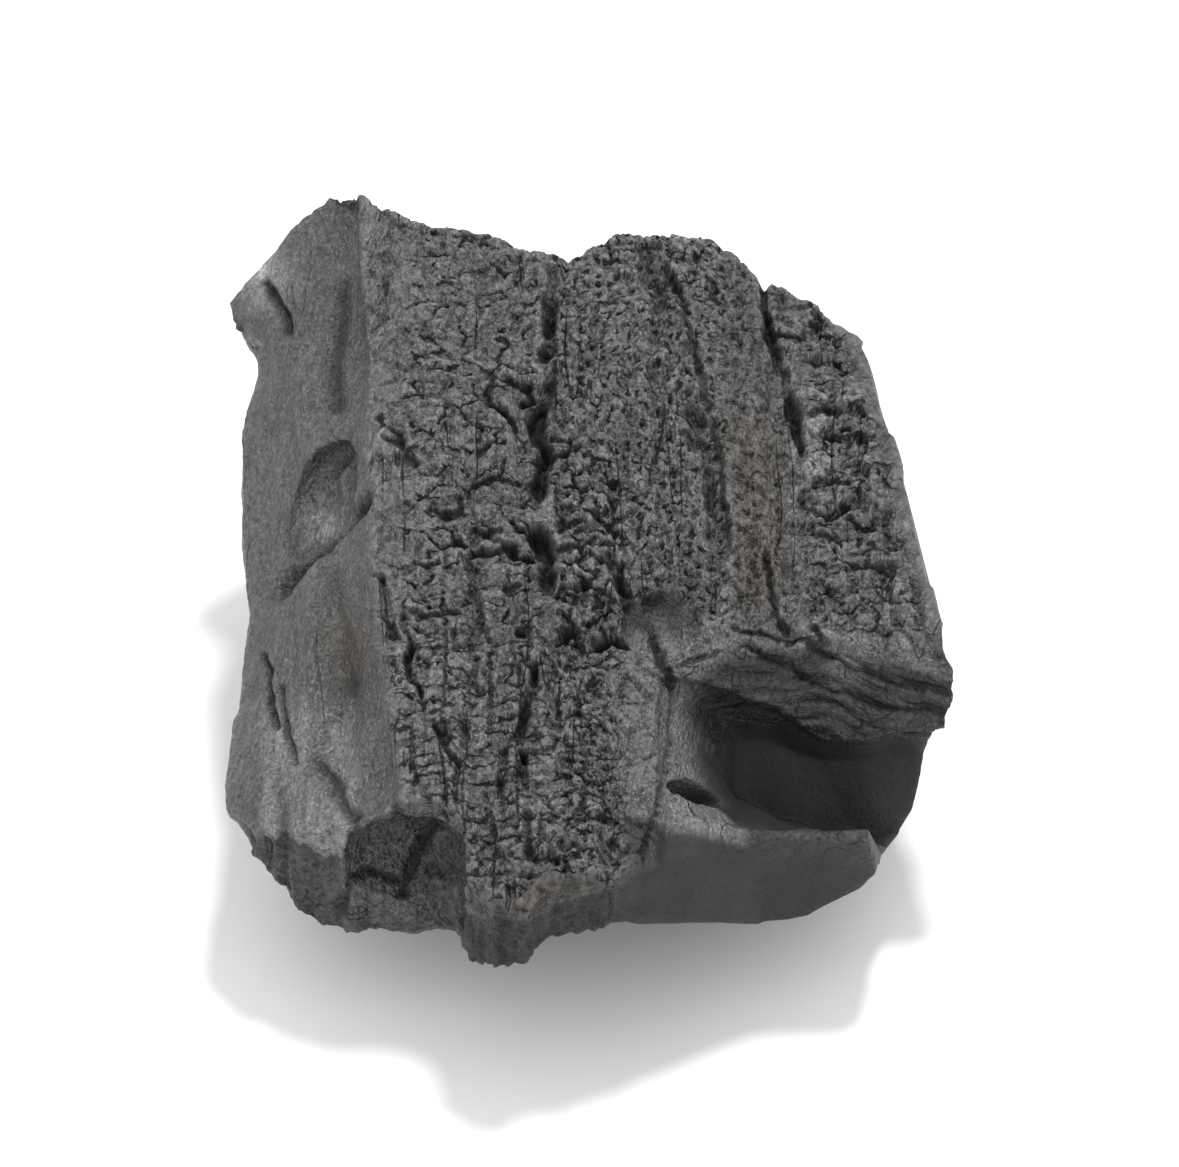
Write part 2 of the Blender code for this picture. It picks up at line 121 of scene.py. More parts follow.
# The hollow in the front right corner, as profiles (s, h) at each x: bark edge, lip, wall, floor, front ridge
CORNER = (
    (4, ((-28, 4), (-31, 3), (-33, 3), (-36, 3), (-40, 2), (-46, 1), (-56, -1), (-90, -3))),
    (8, ((-28, 0.5), (-31, 0), (-33, -0.5), (-36, -0.8), (-40, -1), (-46, -1.5), (-52, -2.2), (-90, -3.5))),
    (11, ((-27, -0.5), (-30, -2), (-30, -5), (-34, -6), (-39, -6), (-45, -5), (-52, -4), (-90, -4))),
    (16, ((-23.5, -1), (-30.5, -5), (-29, -9), (-31, -13), (-38, -13), (-44, -11), (-51.5, -5.5), (-90, -5))),
    (21, ((-22, -1.5), (-31.5, -7), (-29.5, -13), (-32, -20), (-39, -24), (-46, -16), (-51, -9), (-90, -9))),
    (27, ((-21.5, -1.8), (-33, -9), (-30.5, -15), (-32.5, -21), (-41, -27), (-46.5, -18), (-51.5, -10),
          (-90, -10))),
    (33, ((-21.8, -2), (-35, -14), (-33, -18), (-33.5, -23), (-42, -29), (-47, -19), (-51.5, -10), (-90, -10))),
    (38.5, ((-22.6, -3.4), (-35, -12), (-33, -17), (-33.5, -22), (-42, -29), (-46.5, -20), (-50.5, -10),
            (-90, -10))),
    (42.5, ((-23, -4), (-34, -10.5), (-32, -15), (-33, -21.5), (-41.5, -28), (-45, -27), (-48, -27), (-90, -27))),
    (60, ((-28, -6), (-33.5, -9), (-31, -14), (-32.5, -21), (-41, -27), (-44, -27), (-47, -27), (-90, -27))),
)

# Shell-shaped hollows, as (name, centre, radii, turn about h)
HOLLOWS = (
    ("small_scoop", (10, -22.5, 0.8), (6.8, 7, 6), 0.4),
    ("small_scoop_low", (14.5, -27, 3), (6, 6, 7), 0.0),
    ("flank_scoop", (-41.5, -2.5, -2.8), (5.8, 12, 9), -0.63),
    ("tip_saddle", (-50, 25, 4), (8, 14, 16), 0.0),
    ("end_scoop", (-25.5, -60, -9), (10.5, 10.5, 9.5), -0.2),
    ("crescent", (16, -45.6, -9), (7.5, 2.3, 6), 0.1),
    ("right_spall", (63, -2, -26), (20.5, 28, 15), 0.08),
    ("right_low_spall", (55, 24, -52), (21, 22, 19), 0.3),
    ("back_spall", (24, 61, -32), (17, 25, 15), 0.0),
    ("back_left_spall", (-26, 62, -26), (18, 22, 17), 0.2),
    ("left_low_spall", (-60, -12, -42), (17, 26, 12), 0.1),
    ("belly_spall", (2, -56, -58), (20, 20, 22), 0.0),
)

# Long swellings of the bark, as (middle x, half width, front s, back s, height)
SWELLINGS = (
    (-1, 4, -25, 9, 1.2),
    (1, 6, -80, -28, 1.0),
    (38, 5, -80, 80, 0.8),
)

# Cracks and furrows of the bark and of the split sides, as (path of (x, s), half width, depth)
CRACKS = (
    (((-5.2, 36), (-6.1, 28), (-6.6, 19), (-5.9, 14.8), (-7.4, 9), (-6.0, 4), (-7.1, -1), (-7.7, -9), (-6.8, -14),
      (-6.8, -24)), 1.5, 4.5),
    (((-8, -30), (-8.8, -36), (-9.2, -44)), 1.2, 3.5),
    (((-9.2, -44), (-9, -52), (-8, -60)), 0.9, 1.8),
    (((8, 40), (13, 22), (16.5, 4), (18.5, -13)), 2.2, 1.6),
    (((25, 38), (25.5, 32), (27, 25), (29, 18), (31, 5)), 0.9, 3.0),
    (((-25.5, -20), (-24.5, -33), (-21, -41), (-18.5, -44), (-18, -51)), 0.65, 2.4),
    (((-10, -24.5), (-6, -26.2), (-3, -25), (0, -26.6), (3, -25.2), (6, -25)), 1.0, 3.0),
    (((2, -12), (5, -19), (8, -24), (10, -29), (10.5, -33)), 0.8, 2.0),
    (((-16.5, -8), (-16.5, -30), (-16.8, -44)), 0.8, 1.2),
    (((-12.6, -44), (-12.6, -64)), 0.8, 1.8),
    (((-15, -9), (-12, -11), (-8.5, -13)), 0.8, 2.0),
    (((31, -2), (35, -4.5), (38, -3)), 1.0, 1.8),
    (((-31, -14), (-29, -17), (-28, -24)), 0.6, 0.8),
)
SIDE_CRACKS = (
    (((-31, -2.5), (-34, -4), (-38, -6.3), (-44, -12.6)), 1.5, 2.6),
    (((-36, 34), (-37, 22), (-36.5, 14)), 1.0, 0.7),
)

# Radial cracks of the broken back end, as (x at the bark, drift of x for each mm down, depth)
END_CRACKS = ((-27, 0.3, 1.8), (-5, 0.02, 1.0), (9, -0.12, 1.8))

# Fine cracks between the charred blocks, as (depth, path of (x, s))
FINE_CRACKS = (
    (2.2, ((-12.5, 15.6), (-10.5, 14.7), (-8.6, 14), (-8, 12.4), (-9.7, 11.5))),
    (2.4, ((-14.1, 11.2), (-12.7, 9.6), (-11.3, 8.9), (-10.5, 7.4))),
    (1.2, ((-16, 3.9), (-14.4, 4.8))),
    (2.0, ((-7.2, 0.4), (-5, 2.9), (-2.8, 3.6), (-1.7, 4.5))),
    (1.1, ((-16, -0.9), (-13.2, -0.2), (-9.9, -0.9))),
    (1.3, ((-16.2, -7.4), (-15.3, -8.7), (-12.9, -8.4))),
    (1.3, ((-11.2, -7.1), (-9.9, -8.1), (-8.2, -9.3))),
    (1.5, ((-16.4, -11.2), (-14, -11.8), (-12, -11.2), (-10.4, -12.4), (-8.2, -13.3))),
    (1.0, ((-24.1, -12.4), (-22.7, -13), (-21.3, -12.7))),
    (0.9, ((-18.9, -9.6), (-18.1, -10.9))),
    (1.2, ((-29.6, 9.6), (-29, 8), (-27.1, 6.7), (-25.7, 3.9), (-24.5, 2.6))),
    (0.9, ((-29, 5.5), (-26.8, 5.8))),
    (1.1, ((-18.4, -2.7), (-18.4, -4.9), (-20.3, -5.6), (-22, -4.6))),
    (1.0, ((-12.8, -17.4), (-10.6, -17.1))),
    (1.4, ((-31.2, -14), (-30, -14.9), (-28.9, -15.5))),
    (1.0, ((-25.3, -21.4), (-23.1, -21.8), (-18.5, -21.4))),
    (1.0, ((-29.4, -21.4), (-27.7, -23.5), (-27.2, -25.1))),
    (1.0, ((-15.8, -22.9), (-14.9, -25.1), (-14.7, -26))),
    (1.4, ((-4.9, -11.5), (-3.3, -11.2), (-1.1, -10.9), (0, -9.6))),
    (1.0, ((-4.4, -17.7), (-3, -19.2), (-1.4, -18.9))),
    (1.0, ((-14.4, 16), (-15, 13.1), (-14.1, 11.2))),
    (2.0, ((11.2, 36.5), (11.9, 34.1), (12.8, 32.4), (13.7, 29.8), (14.2, 27.8))),
    (0.6, ((13.5, 28), (15.1, 22.8), (17, 15), (18.4, 5), (18.8, -3), (19, -10))),
    (1.2, ((33.8, 12.8), (35.5, 12.4))),
    (1.3, ((33.5, 8), (35.1, 8.3), (36.8, 9.3))),
    (1.3, ((32.5, 1), (35, 1), (36.9, 0.1))),
    (1.3, ((31.6, -3.7), (33, -4.6), (35.4, -4.6), (36.6, -3.4))),
    (1.2, ((32.6, -8.1), (34.3, -8.7), (35.9, -9.6))),
    (1.2, ((27.6, 26.3), (31.3, 26.3))),
    (1.0, ((28.8, 11.8), (30.2, 9.9))),
    (1.4, ((24.3, -12.1), (24.9, -14.6), (25.6, -17.7), (26.7, -21.4), (28.3, -23.8))),
    (0.9, ((32.1, -23.5), (33.7, -25.7))),
    (1.0, ((37.5, -13), (41.6, -13), (42.9, -13.3))),
    (1.0, ((17.9, 34.4), (18.2, 30.1))),
    (1.0, ((20.6, 25.3), (21.7, 23))),
)
FINE_CRACK_HALF_WIDTH = 0.45

# The furrows are this share of their drawn width, open to this least and greatest share of their depth, and
# fully darkened with painted shade from this depth in millimetres
FURROW_NARROWING = 0.65
FURROW_OPEN = (0.15, 1.1)
PAINTED_SHADE_DEPTH = 3

# Sharp cracks and edges as seen from the front, carved in and darkened with painted shade, as (half width, depth,
# path of (x, height seen))
DRAWN_LINES = (
    (0.5, 1.2, ((1.4, -11.8), (3.3, -13.2), (4.1, -15.9), (5.5, -18.7), (7.1, -20.9), (8.8, -22.8), (9.6, -24.7),
                (10.7, -26.9), (11.3, -29.5))),
    (0.4, 0.7, ((10.7, -26.9), (11.5, -31.6), (11.3, -37.1), (10.4, -42.6), (9.1, -48), (7.7, -52.7))),
    (0.38, 0.8, ((20, -22), (24, -22.9), (29.9, -24.4), (37.9, -27.2), (46.4, -29.4))),
    (0.38, 0.8, ((21.8, -24.4), (27.4, -27.2), (32.1, -29.5), (40.1, -31.8), (46.9, -32.4))),
    (0.35, 0.6, ((12.1, -26.9), (15, -26.1), (17.8, -25.8))),
    (0.45, 1.0, ((-46.4, -26.1), (-45.3, -27.7), (-45.6, -30.5), (-44.2, -35.1))),
    (0.35, 0.8, ((-43.8, -30), (-43.2, -35), (-42, -40))),
    (0.9, 0.9, ((-38.4, -39.8), (-35, -44.5), (-32.7, -47.8))),
    (0.75, 0.9, ((-20.6, -47.8), (-23, -51.5), (-25, -55), (-26.4, -58.5))),
    (0.6, 0.7, ((-35.1, -60.9), (-33.5, -56.3), (-30.2, -55.2), (-26.4, -56.5))),
    (0.6, 1.2, ((-47.4, 29), (-45, 25.5), (-43.2, 21.5))),
)
# Lower edge of the tongue of torn wood on the left, painted with light and streaks, as (x, height seen)
TONGUE_EDGE = ((-46, -50.5), (-42.5, -51.6), (-40, -51.6), (-37.3, -53.5), (-35, -53.5), (-32.7, -50.5))
# Brown wedge of thin wood under the front edge of the bark, as (x, height seen)
BROW_LOW = ((-18.6, -61.8), (-12.6, -61.6), (-6.5, -60.6), (-0.8, -59), (3.3, -57.4), (8.8, -54.6), (12.5, -52.8),
            (16.7, -51.4), (22, -50.6))
BROW_HIGH = ((-18.6, -60.4), (-9, -58.6), (-7.3, -55.6), (-2.9, -55.9), (3.3, -57.2), (8.8, -54.5), (12.5, -52.7))
VIEW_SLANT = math.radians(62)


def length(name, description, default):
    return FloatProperty(name=name, description=description, default=default, unit="LENGTH", precision=5)


def colour(name, description, default):
    return FloatVectorProperty(name=name, description=description, default=default, subtype="COLOR", size=3, min=0,
                               max=1)


class CharcoalSizes(bpy.types.PropertyGroup):
    """Sizes of the lump's skin."""

    skin_cell: length("Skin Cell", "Edge of the cells that the skin is built on", 0.00034)
    triangles: IntProperty(name="Triangles", description="Faces of the finished lump", default=194000)
    column_width: length("Column Width", "Width of the charred columns of the checked bark", 0.0034)
    block_length: length("Block Length", "Length of the blocks that a column is checked into", 0.0028)
    crack_width: length("Crack Width", "Width of the cracks of the bark", 0.0004)
    crack_depth: length("Crack Depth", "Depth of the cracks of the bark", 0.0008)
    crack_spacing: length("Crack Spacing", "Distance between the fine cracks across the grain", 0.0034)
    nodule_size: length("Nodule Size", "Width of the charred nodules", 0.0028)
    nodule_gap: length("Nodule Gap", "Depth of the gaps between the nodules", 0.0010)
    pit_size: length("Pit Size", "Width of the small angular grains of the bark", 0.0014)
    pit_depth: length("Pit Depth", "Depth of the gaps between these grains", 0.0006)
    fibre_height: length("Fibre Height", "Height of the fibres of the torn sides", 0.0006)


class CharcoalColours(bpy.types.PropertyGroup):
    """Colours of the charred wood, the painted shade of its cracks and its painted glints."""

    char: colour("Char", "Colour of the charred wood", (0.054, 0.054, 0.056))
    # Painted shade: the colour that cracks and hollows are darkened towards
    painted_crack_shade: colour("Soot", "Colour of cracks and sooty hollows", (0.010, 0.010, 0.011))
    # Painted glints: bright specks that stand in for the lamp's glint on small facets
    painted_glint: colour("Fleck", "Colour of the bright flecks", (0.20, 0.20, 0.20))
    stain: colour("Stain", "Colour of the brown stains", (0.060, 0.051, 0.039))


class CharcoalStudio(bpy.types.PropertyGroup):
    """Floor, light and camera."""

    floor_colour: colour("Floor", "Colour of the floor", (0.85, 0.85, 0.85))
    sky: FloatProperty(name="Sky", description="Strength of the soft light from above", default=1.26)
    horizon: FloatProperty(name="Horizon", description="Strength of the soft light from the sides", default=1.15)
    lamp_power: FloatProperty(name="Lamp", description="Power of the lamp overhead", default=6.5, unit="POWER")
    lamp_size: length("Lamp Size", "Width of the lamp overhead", 0.12)
    camera_distance: length("Camera Distance", "Distance from the camera to the lump", 0.9)
    camera_elevation: FloatProperty(
        name="Camera Elevation", description="Height of the camera above the horizon", default=math.radians(44),
        subtype="ANGLE", unit="ROTATION")
    view_width: length("View Width", "Width that the picture takes in at the lump", 0.170)


class Value:
    """An output of a node. Sums and products of it are nodes of the same tree."""

    def __init__(self, net, socket):
        self.net = net
        self.socket = socket

    def __add__(self, other):
        return self.net.math("ADD", self, other)

    def __mul__(self, other):
        return self.net.math("MULTIPLY", self, other)

    def __sub__(self, other):
        return self.net.math("SUBTRACT", self, other)

    def __rsub__(self, other):
        return self.net.math("SUBTRACT", other, self)

    def __truediv__(self, other):
        return self.net.math("DIVIDE", self, other)

    def __abs__(self):
        return self.net.math("ABSOLUTE", self)

    __radd__ = __add__
    __rmul__ = __mul__


class Net:
    """Adds nodes to a tree and joins them. What a socket gets is a number, a vector or a Value."""

    def __init__(self, tree):
        self.tree = tree

    def node(self, kind, inputs=None, **settings):
        made = self.tree.nodes.new(kind)
        for name, value in settings.items():
            setattr(made, name, value)
        for key, value in (inputs or {}).items():
            self.join(made.inputs[key], value)
        return made

    def join(self, socket, value):
        if isinstance(value, Value):
            self.tree.links.new(value.socket, socket)
        else:
            socket.default_value = value

    def value(self, kind, inputs=None, output=0, **settings):
        """One output of a new node."""
        return Value(self, self.node(kind, inputs, **settings).outputs[output])

    def values(self, kind, inputs=None, **settings):
        """All outputs of a new node, by name."""
        return {socket.name: Value(self, socket) for socket in self.node(kind, inputs, **settings).outputs}

    def group(self, tree, inputs):
        """Outputs of a group of nodes, by name, from its inputs by name."""
        kind = "GeometryNodeGroup" if tree.bl_idname == "GeometryNodeTree" else "ShaderNodeGroup"
        return self.values(kind, inputs, node_tree=tree)

    def math(self, operation, *values):
        return self.value("ShaderNodeMath", dict(enumerate(values)), operation=operation)

    def vector(self, operation, *values):
        return self.value("ShaderNodeVectorMath", dict(enumerate(values)), operation=operation)

    def scale(self, vector, factor):
        return self.value("ShaderNodeVectorMath", {0: vector, "Scale": factor}, operation="SCALE")

    def parts(self, vector):
        return list(self.values("ShaderNodeSeparateXYZ", {0: vector}).values())

    def join_parts(self, x=0.0, y=0.0, z=0.0):
        return self.value("ShaderNodeCombineXYZ", {"X": x, "Y": y, "Z": z})

    def mix(self, factor, first, second):
        """Colour between first and second by the factor."""
        return self.value("ShaderNodeMix", {0: factor, 6: first, 7: second}, 2, data_type="RGBA")

    def ramp(self, value, low, high, start=0.0, end=1.0):
        """start below low, end above high, smooth between."""
        inputs = {"Value": value, "From Min": low, "From Max": high, "To Min": start, "To Max": end}
        return self.value("ShaderNodeMapRange", inputs, "Result", interpolation_type="SMOOTHSTEP")

    def scaled(self, place, sizes):
        return self.vector("MULTIPLY", place, tuple(1 / size for size in sizes))

    def noise(self, place, sizes, detail=2.0, roughness=0.5, seed=0.0):
        """Smooth noise from 0 to 1, about 0.5, with bumps of the given sizes across, along and deep."""
        place = self.scaled(place, sizes)
        if seed:
            place = self.vector("ADD", place, (seed, seed, seed))
        inputs = {"Vector": place, "Scale": 1.0, "Detail": detail, "Roughness": roughness}
        return self.value("ShaderNodeTexNoise", inputs, "Fac")

    def bumps(self, *settings, **more):
        """The same noise, from -0.5 to 0.5."""
        return self.noise(*settings, **more) - 0.5

    def cells(self, inputs, dimensions="3D", feature="F1"):
        """Outputs of a pattern of cells."""
        return self.values("ShaderNodeTexVoronoi", {"Scale": 1.0, **inputs}, voronoi_dimensions=dimensions,
                           feature=feature)


def add_socket(tree, name, kind, out=False):
    """Named input or output of a tree."""
    tree.interface.new_socket(name, in_out="OUTPUT" if out else "INPUT", socket_type=f"NodeSocket{kind}")


def pattern_tree(name, kind, inputs, outputs):
    """A new group of nodes, its net and its inputs. It reads a place and numbers and gives numbers."""
    tree = bpy.data.node_groups.new(name, kind)
    add_socket(tree, "Place", "Vector")
    for label in inputs:
        add_socket(tree, label, "Float")
    for label in outputs:
        add_socket(tree, label, "Float", out=True)
    net = Net(tree)
    return tree, net, net.values("NodeGroupInput")


# Columns of the checked bark, in millimetres. A crack keeps its full depth over the core, a share of its width.
COLUMN_SWAY = 4.5
COLUMN_JAG = 0.9
BLOCK_RAGGED = 1.6
DOME_WIDTH = 0.8
SHARP_CORE = 0.15


def column_group(kind):
    """Charred columns that run with the grain, checked across into blocks of uneven length."""
    inputs = ("Column Width", "Block Length", "Crack Width", "Seed")
    tree, net, given = pattern_tree("charred_columns", kind, inputs, ("Crack", "Tone", "Dome"))
    width, block, crack_width = given["Column Width"], given["Block Length"], given["Crack Width"]
    place = net.vector("ADD", given["Place"], net.vector("MULTIPLY", given["Seed"], (9.1, 7.3, 5.9)))
    x, s, _ = net.parts(given["Place"])
    sway = net.bumps(place, (7, 16, 9), 1.0)
    jag = net.bumps(place, (0.9, 0.8, 2))
    u = (x + sway * COLUMN_SWAY + jag * COLUMN_JAG) / width
    column = net.math("FLOOR", u)
    side_edge = (0.5 - abs(u - column - 0.5)) * width
    luck = net.value("ShaderNodeTexWhiteNoise", {"W": column + given["Seed"]}, noise_dimensions="1D")
    ragged = net.bumps(place, (1.1, 1.4, 2), seed=4.0)
    v = (s + ragged * BLOCK_RAGGED) / block + luck * 57.3
    cell = {"W": v, "Randomness": 0.9}
    end_edge = net.cells(cell, "1D", "DISTANCE_TO_EDGE")["Distance"] * block
    tone = net.math("FRACT", net.parts(net.cells(cell, "1D")["Color"])[0] + luck * 3.7)
    side_fade = net.ramp(net.noise(place, (3, 10, 5), 1.0, seed=8.0), 0.36, 0.6)
    end_fade = net.ramp(net.noise(place, (2.4, 3.0, 5), 1.0, seed=12.0), 0.34, 0.58)
    thin = crack_width * SHARP_CORE
    side_crack = net.ramp(side_edge, thin, crack_width, 1.0, 0.0) * side_fade
    end_crack = net.ramp(end_edge, thin, crack_width, 1.0, 0.0) * end_fade
    dome = net.ramp(net.math("MINIMUM", side_edge, end_edge), 0.0, DOME_WIDTH)
    net.node("NodeGroupOutput", {"Crack": net.math("MAXIMUM", side_crack, end_crack), "Tone": tone, "Dome": dome})
    return tree


def cell_group(kind):
    """Angular charred pieces: the gaps between them, and a tone and a tilted top for each."""
    inputs = ("Across", "Along", "Gap Width", "Bend", "Opening", "Seed")
    tree, net, given = pattern_tree("charred_cells", kind, inputs, ("Crack", "Tone", "Tilt"))
    size = net.join_parts(given["Across"], given["Along"], 1.0)
    place = net.vector("ADD", net.vector("DIVIDE", given["Place"], size), given["Seed"])
    bend = net.value("ShaderNodeTexNoise", {"Vector": place, "Scale": 1.3, "Detail": 3.0}, "Color")
    bend = net.scale(net.vector("SUBTRACT", bend, (0.5, 0.5, 0.5)), given["Bend"])
    place = net.vector("MULTIPLY", net.vector("ADD", place, bend), (1, 1, 0))
    cell = {"Vector": place, "Randomness": 1.0}
    edge = net.cells(cell, "2D", "DISTANCE_TO_EDGE")["Distance"]
    nearest = net.cells(cell, "2D")
    luck = net.vector("SUBTRACT", nearest["Color"], (0.5, 0.5, 0.5))
    tilt = net.parts(net.vector("MULTIPLY", luck, net.vector("SUBTRACT", place, nearest["Position"])))
    gap = given["Gap Width"] / given["Along"]
    low = 0.7 - given["Opening"] * 0.45
    where = net.vector("MULTIPLY", place, (1.1, 1.1, 0))
    where = net.ramp(net.noise(where, (1, 1, 1), 1.0, seed=6.0), low, low + 0.08)
    crack = net.ramp(edge, gap * SHARP_CORE, gap, 1.0, 0.0) * where
    net.node("NodeGroupOutput", {"Crack": crack, "Tone": net.parts(nearest["Color"])[2],
                                 "Tilt": (tilt[0] + tilt[1]) * 4.0})
    return tree


# Each pattern: the mask it shows in, the size it follows, its width, length and gap as shares of it, and the bend
# and the opening of its gaps.
CELLS = (
    ("nodule", "nodules", "Nodule Size", 1.0, 0.85, 1.1, 1.1, 0.62),
    ("lump", "lumpy", "Nodule Size", 1.8, 1.6, 1.0, 1.2, 0.5),
    ("granule", "pores", "Pit Size", 1.0, 1.1, 0.95, 1.0, 0.38),
    ("check", "cracked", "Crack Spacing", 1.3, 0.75, 0.6, 1.0, 0.5),
)


def bark_patterns(net, place, sizes, sharp):
    """The bark's patterns by name, from sizes by name. sharp narrows the cracks."""
    kind = net.tree.bl_idname
    columns, pieces = column_group(kind), cell_group(kind)
    crack_width = sizes["Crack Width"] * sharp
    found = {"block": net.group(columns, {
        "Place": place, "Column Width": sizes["Column Width"], "Block Length": sizes["Block Length"],
        "Crack Width": crack_width, "Seed": sizes["Seed"]})}
    for name, _, size, across, along, gap, bend, opening in CELLS:
        found[name] = net.group(pieces, {
            "Place": place, "Across": sizes[size] * across, "Along": sizes[size] * along,
            "Gap Width": crack_width * gap, "Bend": bend, "Opening": opening,
            "Seed": sizes["Seed"] + 7.0 * len(found)})
    return found


def split_lines(net, place):
    """Fine splits of the torn wood, that run with the grain."""
    where = net.ramp(net.noise(place, (6, 14, 6), 1.0, seed=43.0), 0.5, 0.62)
    return net.ramp(abs(net.bumps(place, (5, 46, 5), seed=41.0)), 0.0, 0.012, 1.0, 0.0) * where


FLANK_LEAN = -0.35


def slanted(net, place):
    """Place with the grain leaning across, as it runs on the worn flank."""
    x, s, h = net.parts(place)
    return net.join_parts(x + s * FLANK_LEAN, s, h)


def lip_layers(net, place):
    """Torn layers of the lip, that follow the bark above it."""
    x, s, h = net.parts(place)
    along = net.join_parts(x * 0.07, (h + x * 0.16 + s * 0.12) * 1.1)
    return net.noise(along, (1, 1, 1), 3.0, 0.6, seed=51.0)


# The sizes that the skin reads, and the seed of its patterns
SKIN_SIZES = ("Column Width", "Block Length", "Crack Width", "Crack Depth", "Crack Spacing", "Nodule Size",
              "Nodule Gap", "Pit Size", "Pit Depth", "Fibre Height")
SEED = 3.0


def skin_tree():
    """Geometry nodes that raise the blocks, nodules, pores and fibres of the skin."""
    tree = bpy.data.node_groups.new("charred_skin", "GeometryNodeTree")
    add_socket(tree, "Geometry", "Geometry")
    for name in (*SKIN_SIZES, "Seed"):
        add_socket(tree, name, "Float")
    add_socket(tree, "Material", "Material")
    add_socket(tree, "Geometry", "Geometry", out=True)
    net = Net(tree)
    given = net.values("NodeGroupInput")

    def attribute(name, kind="FLOAT"):
        return net.value("GeometryNodeInputNamedAttribute", {"Name": name}, "Attribute", data_type=kind)

    def angular(name, step, lean, depth):
        """Height of a pattern's pieces, from the step between them, their lean and the depth of their gaps."""
        piece = found[name]
        return piece["Tone"] * step + piece["Tilt"] * lean - piece["Crack"] * depth

    place = attribute("wood", "FLOAT_VECTOR")
    found = bark_patterns(net, place, given, 1.0)
    block, crack_depth, fibre = found["block"], given["Crack Depth"], given["Fibre Height"]
    split = split_lines(net, place)
    grains = net.bumps(place, (0.8, 1.0, 0.8), 2.0, 0.6, 6.0)
    checked = block["Tone"] * 0.3 + block["Dome"] * 0.12 - block["Crack"] * crack_depth * 0.55
    bark = (
        checked * attribute("squares")
        + angular("nodule", 1.0, 0.6, given["Nodule Gap"]) * attribute("nodules")
        + angular("lump", 1.2, 1.0, crack_depth) * attribute("lumpy")
        + angular("granule", 0.18, 0.3, given["Pit Depth"]) * attribute("pores")
        + angular("check", 0.2, 0.3, crack_depth) * attribute("cracked")
        - split * 0.5 + grains * 0.35
        + net.bumps(place, (2.6, 3.6, 2.6), 2.0, 0.6, 3.0) * 0.9
        + net.bumps(place, (1.4, 22, 1.4), 2.0, 0.6, 5.0) * 1.5
        + net.bumps(place, (3.6, 50, 3.6), 1.0, 0.6, 8.0) * 2.0)
    up = net.join_parts(z=bark * attribute("bark"))

    strand = net.bumps(place, (1.2, 26, 1.2), 3.0, 0.6, 11.0) * fibre
    shelf = net.ramp(net.noise(place, (4.5, 40, 4.5), seed=13.0), 0.47, 0.52)
    scale = net.ramp(net.noise(place, (3, 15, 3), seed=15.0), 0.5, 0.54)
    fold = net.bumps(slanted(net, place), (5, 20, 5), seed=16.0)
    rubble = net.bumps(place, (1.8, 3, 3), 3.0, 0.6, 17.0) * fibre
    flute = net.bumps(place, (2.2, 9, 22), 2.0, 0.6, 19.0)
    out = (
        (strand * 1.6 + shelf * 0.7 + scale * 0.4 - split * 0.7) * attribute("torn")
        + (rubble * 2.4 + flute * 2.8 + strand * 1.2) * attribute("broken")
        + (fold * 1.1 + grains * 0.35 + strand * 0.4) * attribute("worn")
        + (lip_layers(net, place) - 0.5) * 2.4 * attribute("lip")
        + grains * attribute("grained") * 0.7)
    out = net.scale(net.value("GeometryNodeInputNormal"), out)

    offset = net.vector("ADD", up, out)
    moved = net.value("GeometryNodeSetPosition", {"Geometry": given["Geometry"], "Offset": offset})
    whole = net.value("GeometryNodeRealizeInstances", {"Geometry": moved})
    painted = net.value("GeometryNodeSetMaterial", {"Geometry": whole, "Material": given["Material"]})
    net.node("NodeGroupOutput", {"Geometry": painted})
    return tree


def raise_skin(body, tree, inputs):
    """Runs the tree on the body, with its inputs set by name."""
    modifier = body.modifiers.new("charred_skin", "NODES")
    modifier.node_group = tree
    for item in tree.interface.items_tree:
        if item.item_type == "SOCKET" and item.in_out == "INPUT" and item.name in inputs:
            modifier[item.identifier] = inputs[item.name]
    apply_modifiers(body)


# The dull sheen of charcoal, the least share of its colour that a place keeps under painted shade, and the height
# of its fine relief in metres
SHEEN = (("Specular IOR Level", 0.3), ("Coat Roughness", 0.38), ("Coat IOR", 1.65))
LEAST_LIGHT = 0.1
FINE_RELIEF = 0.0005


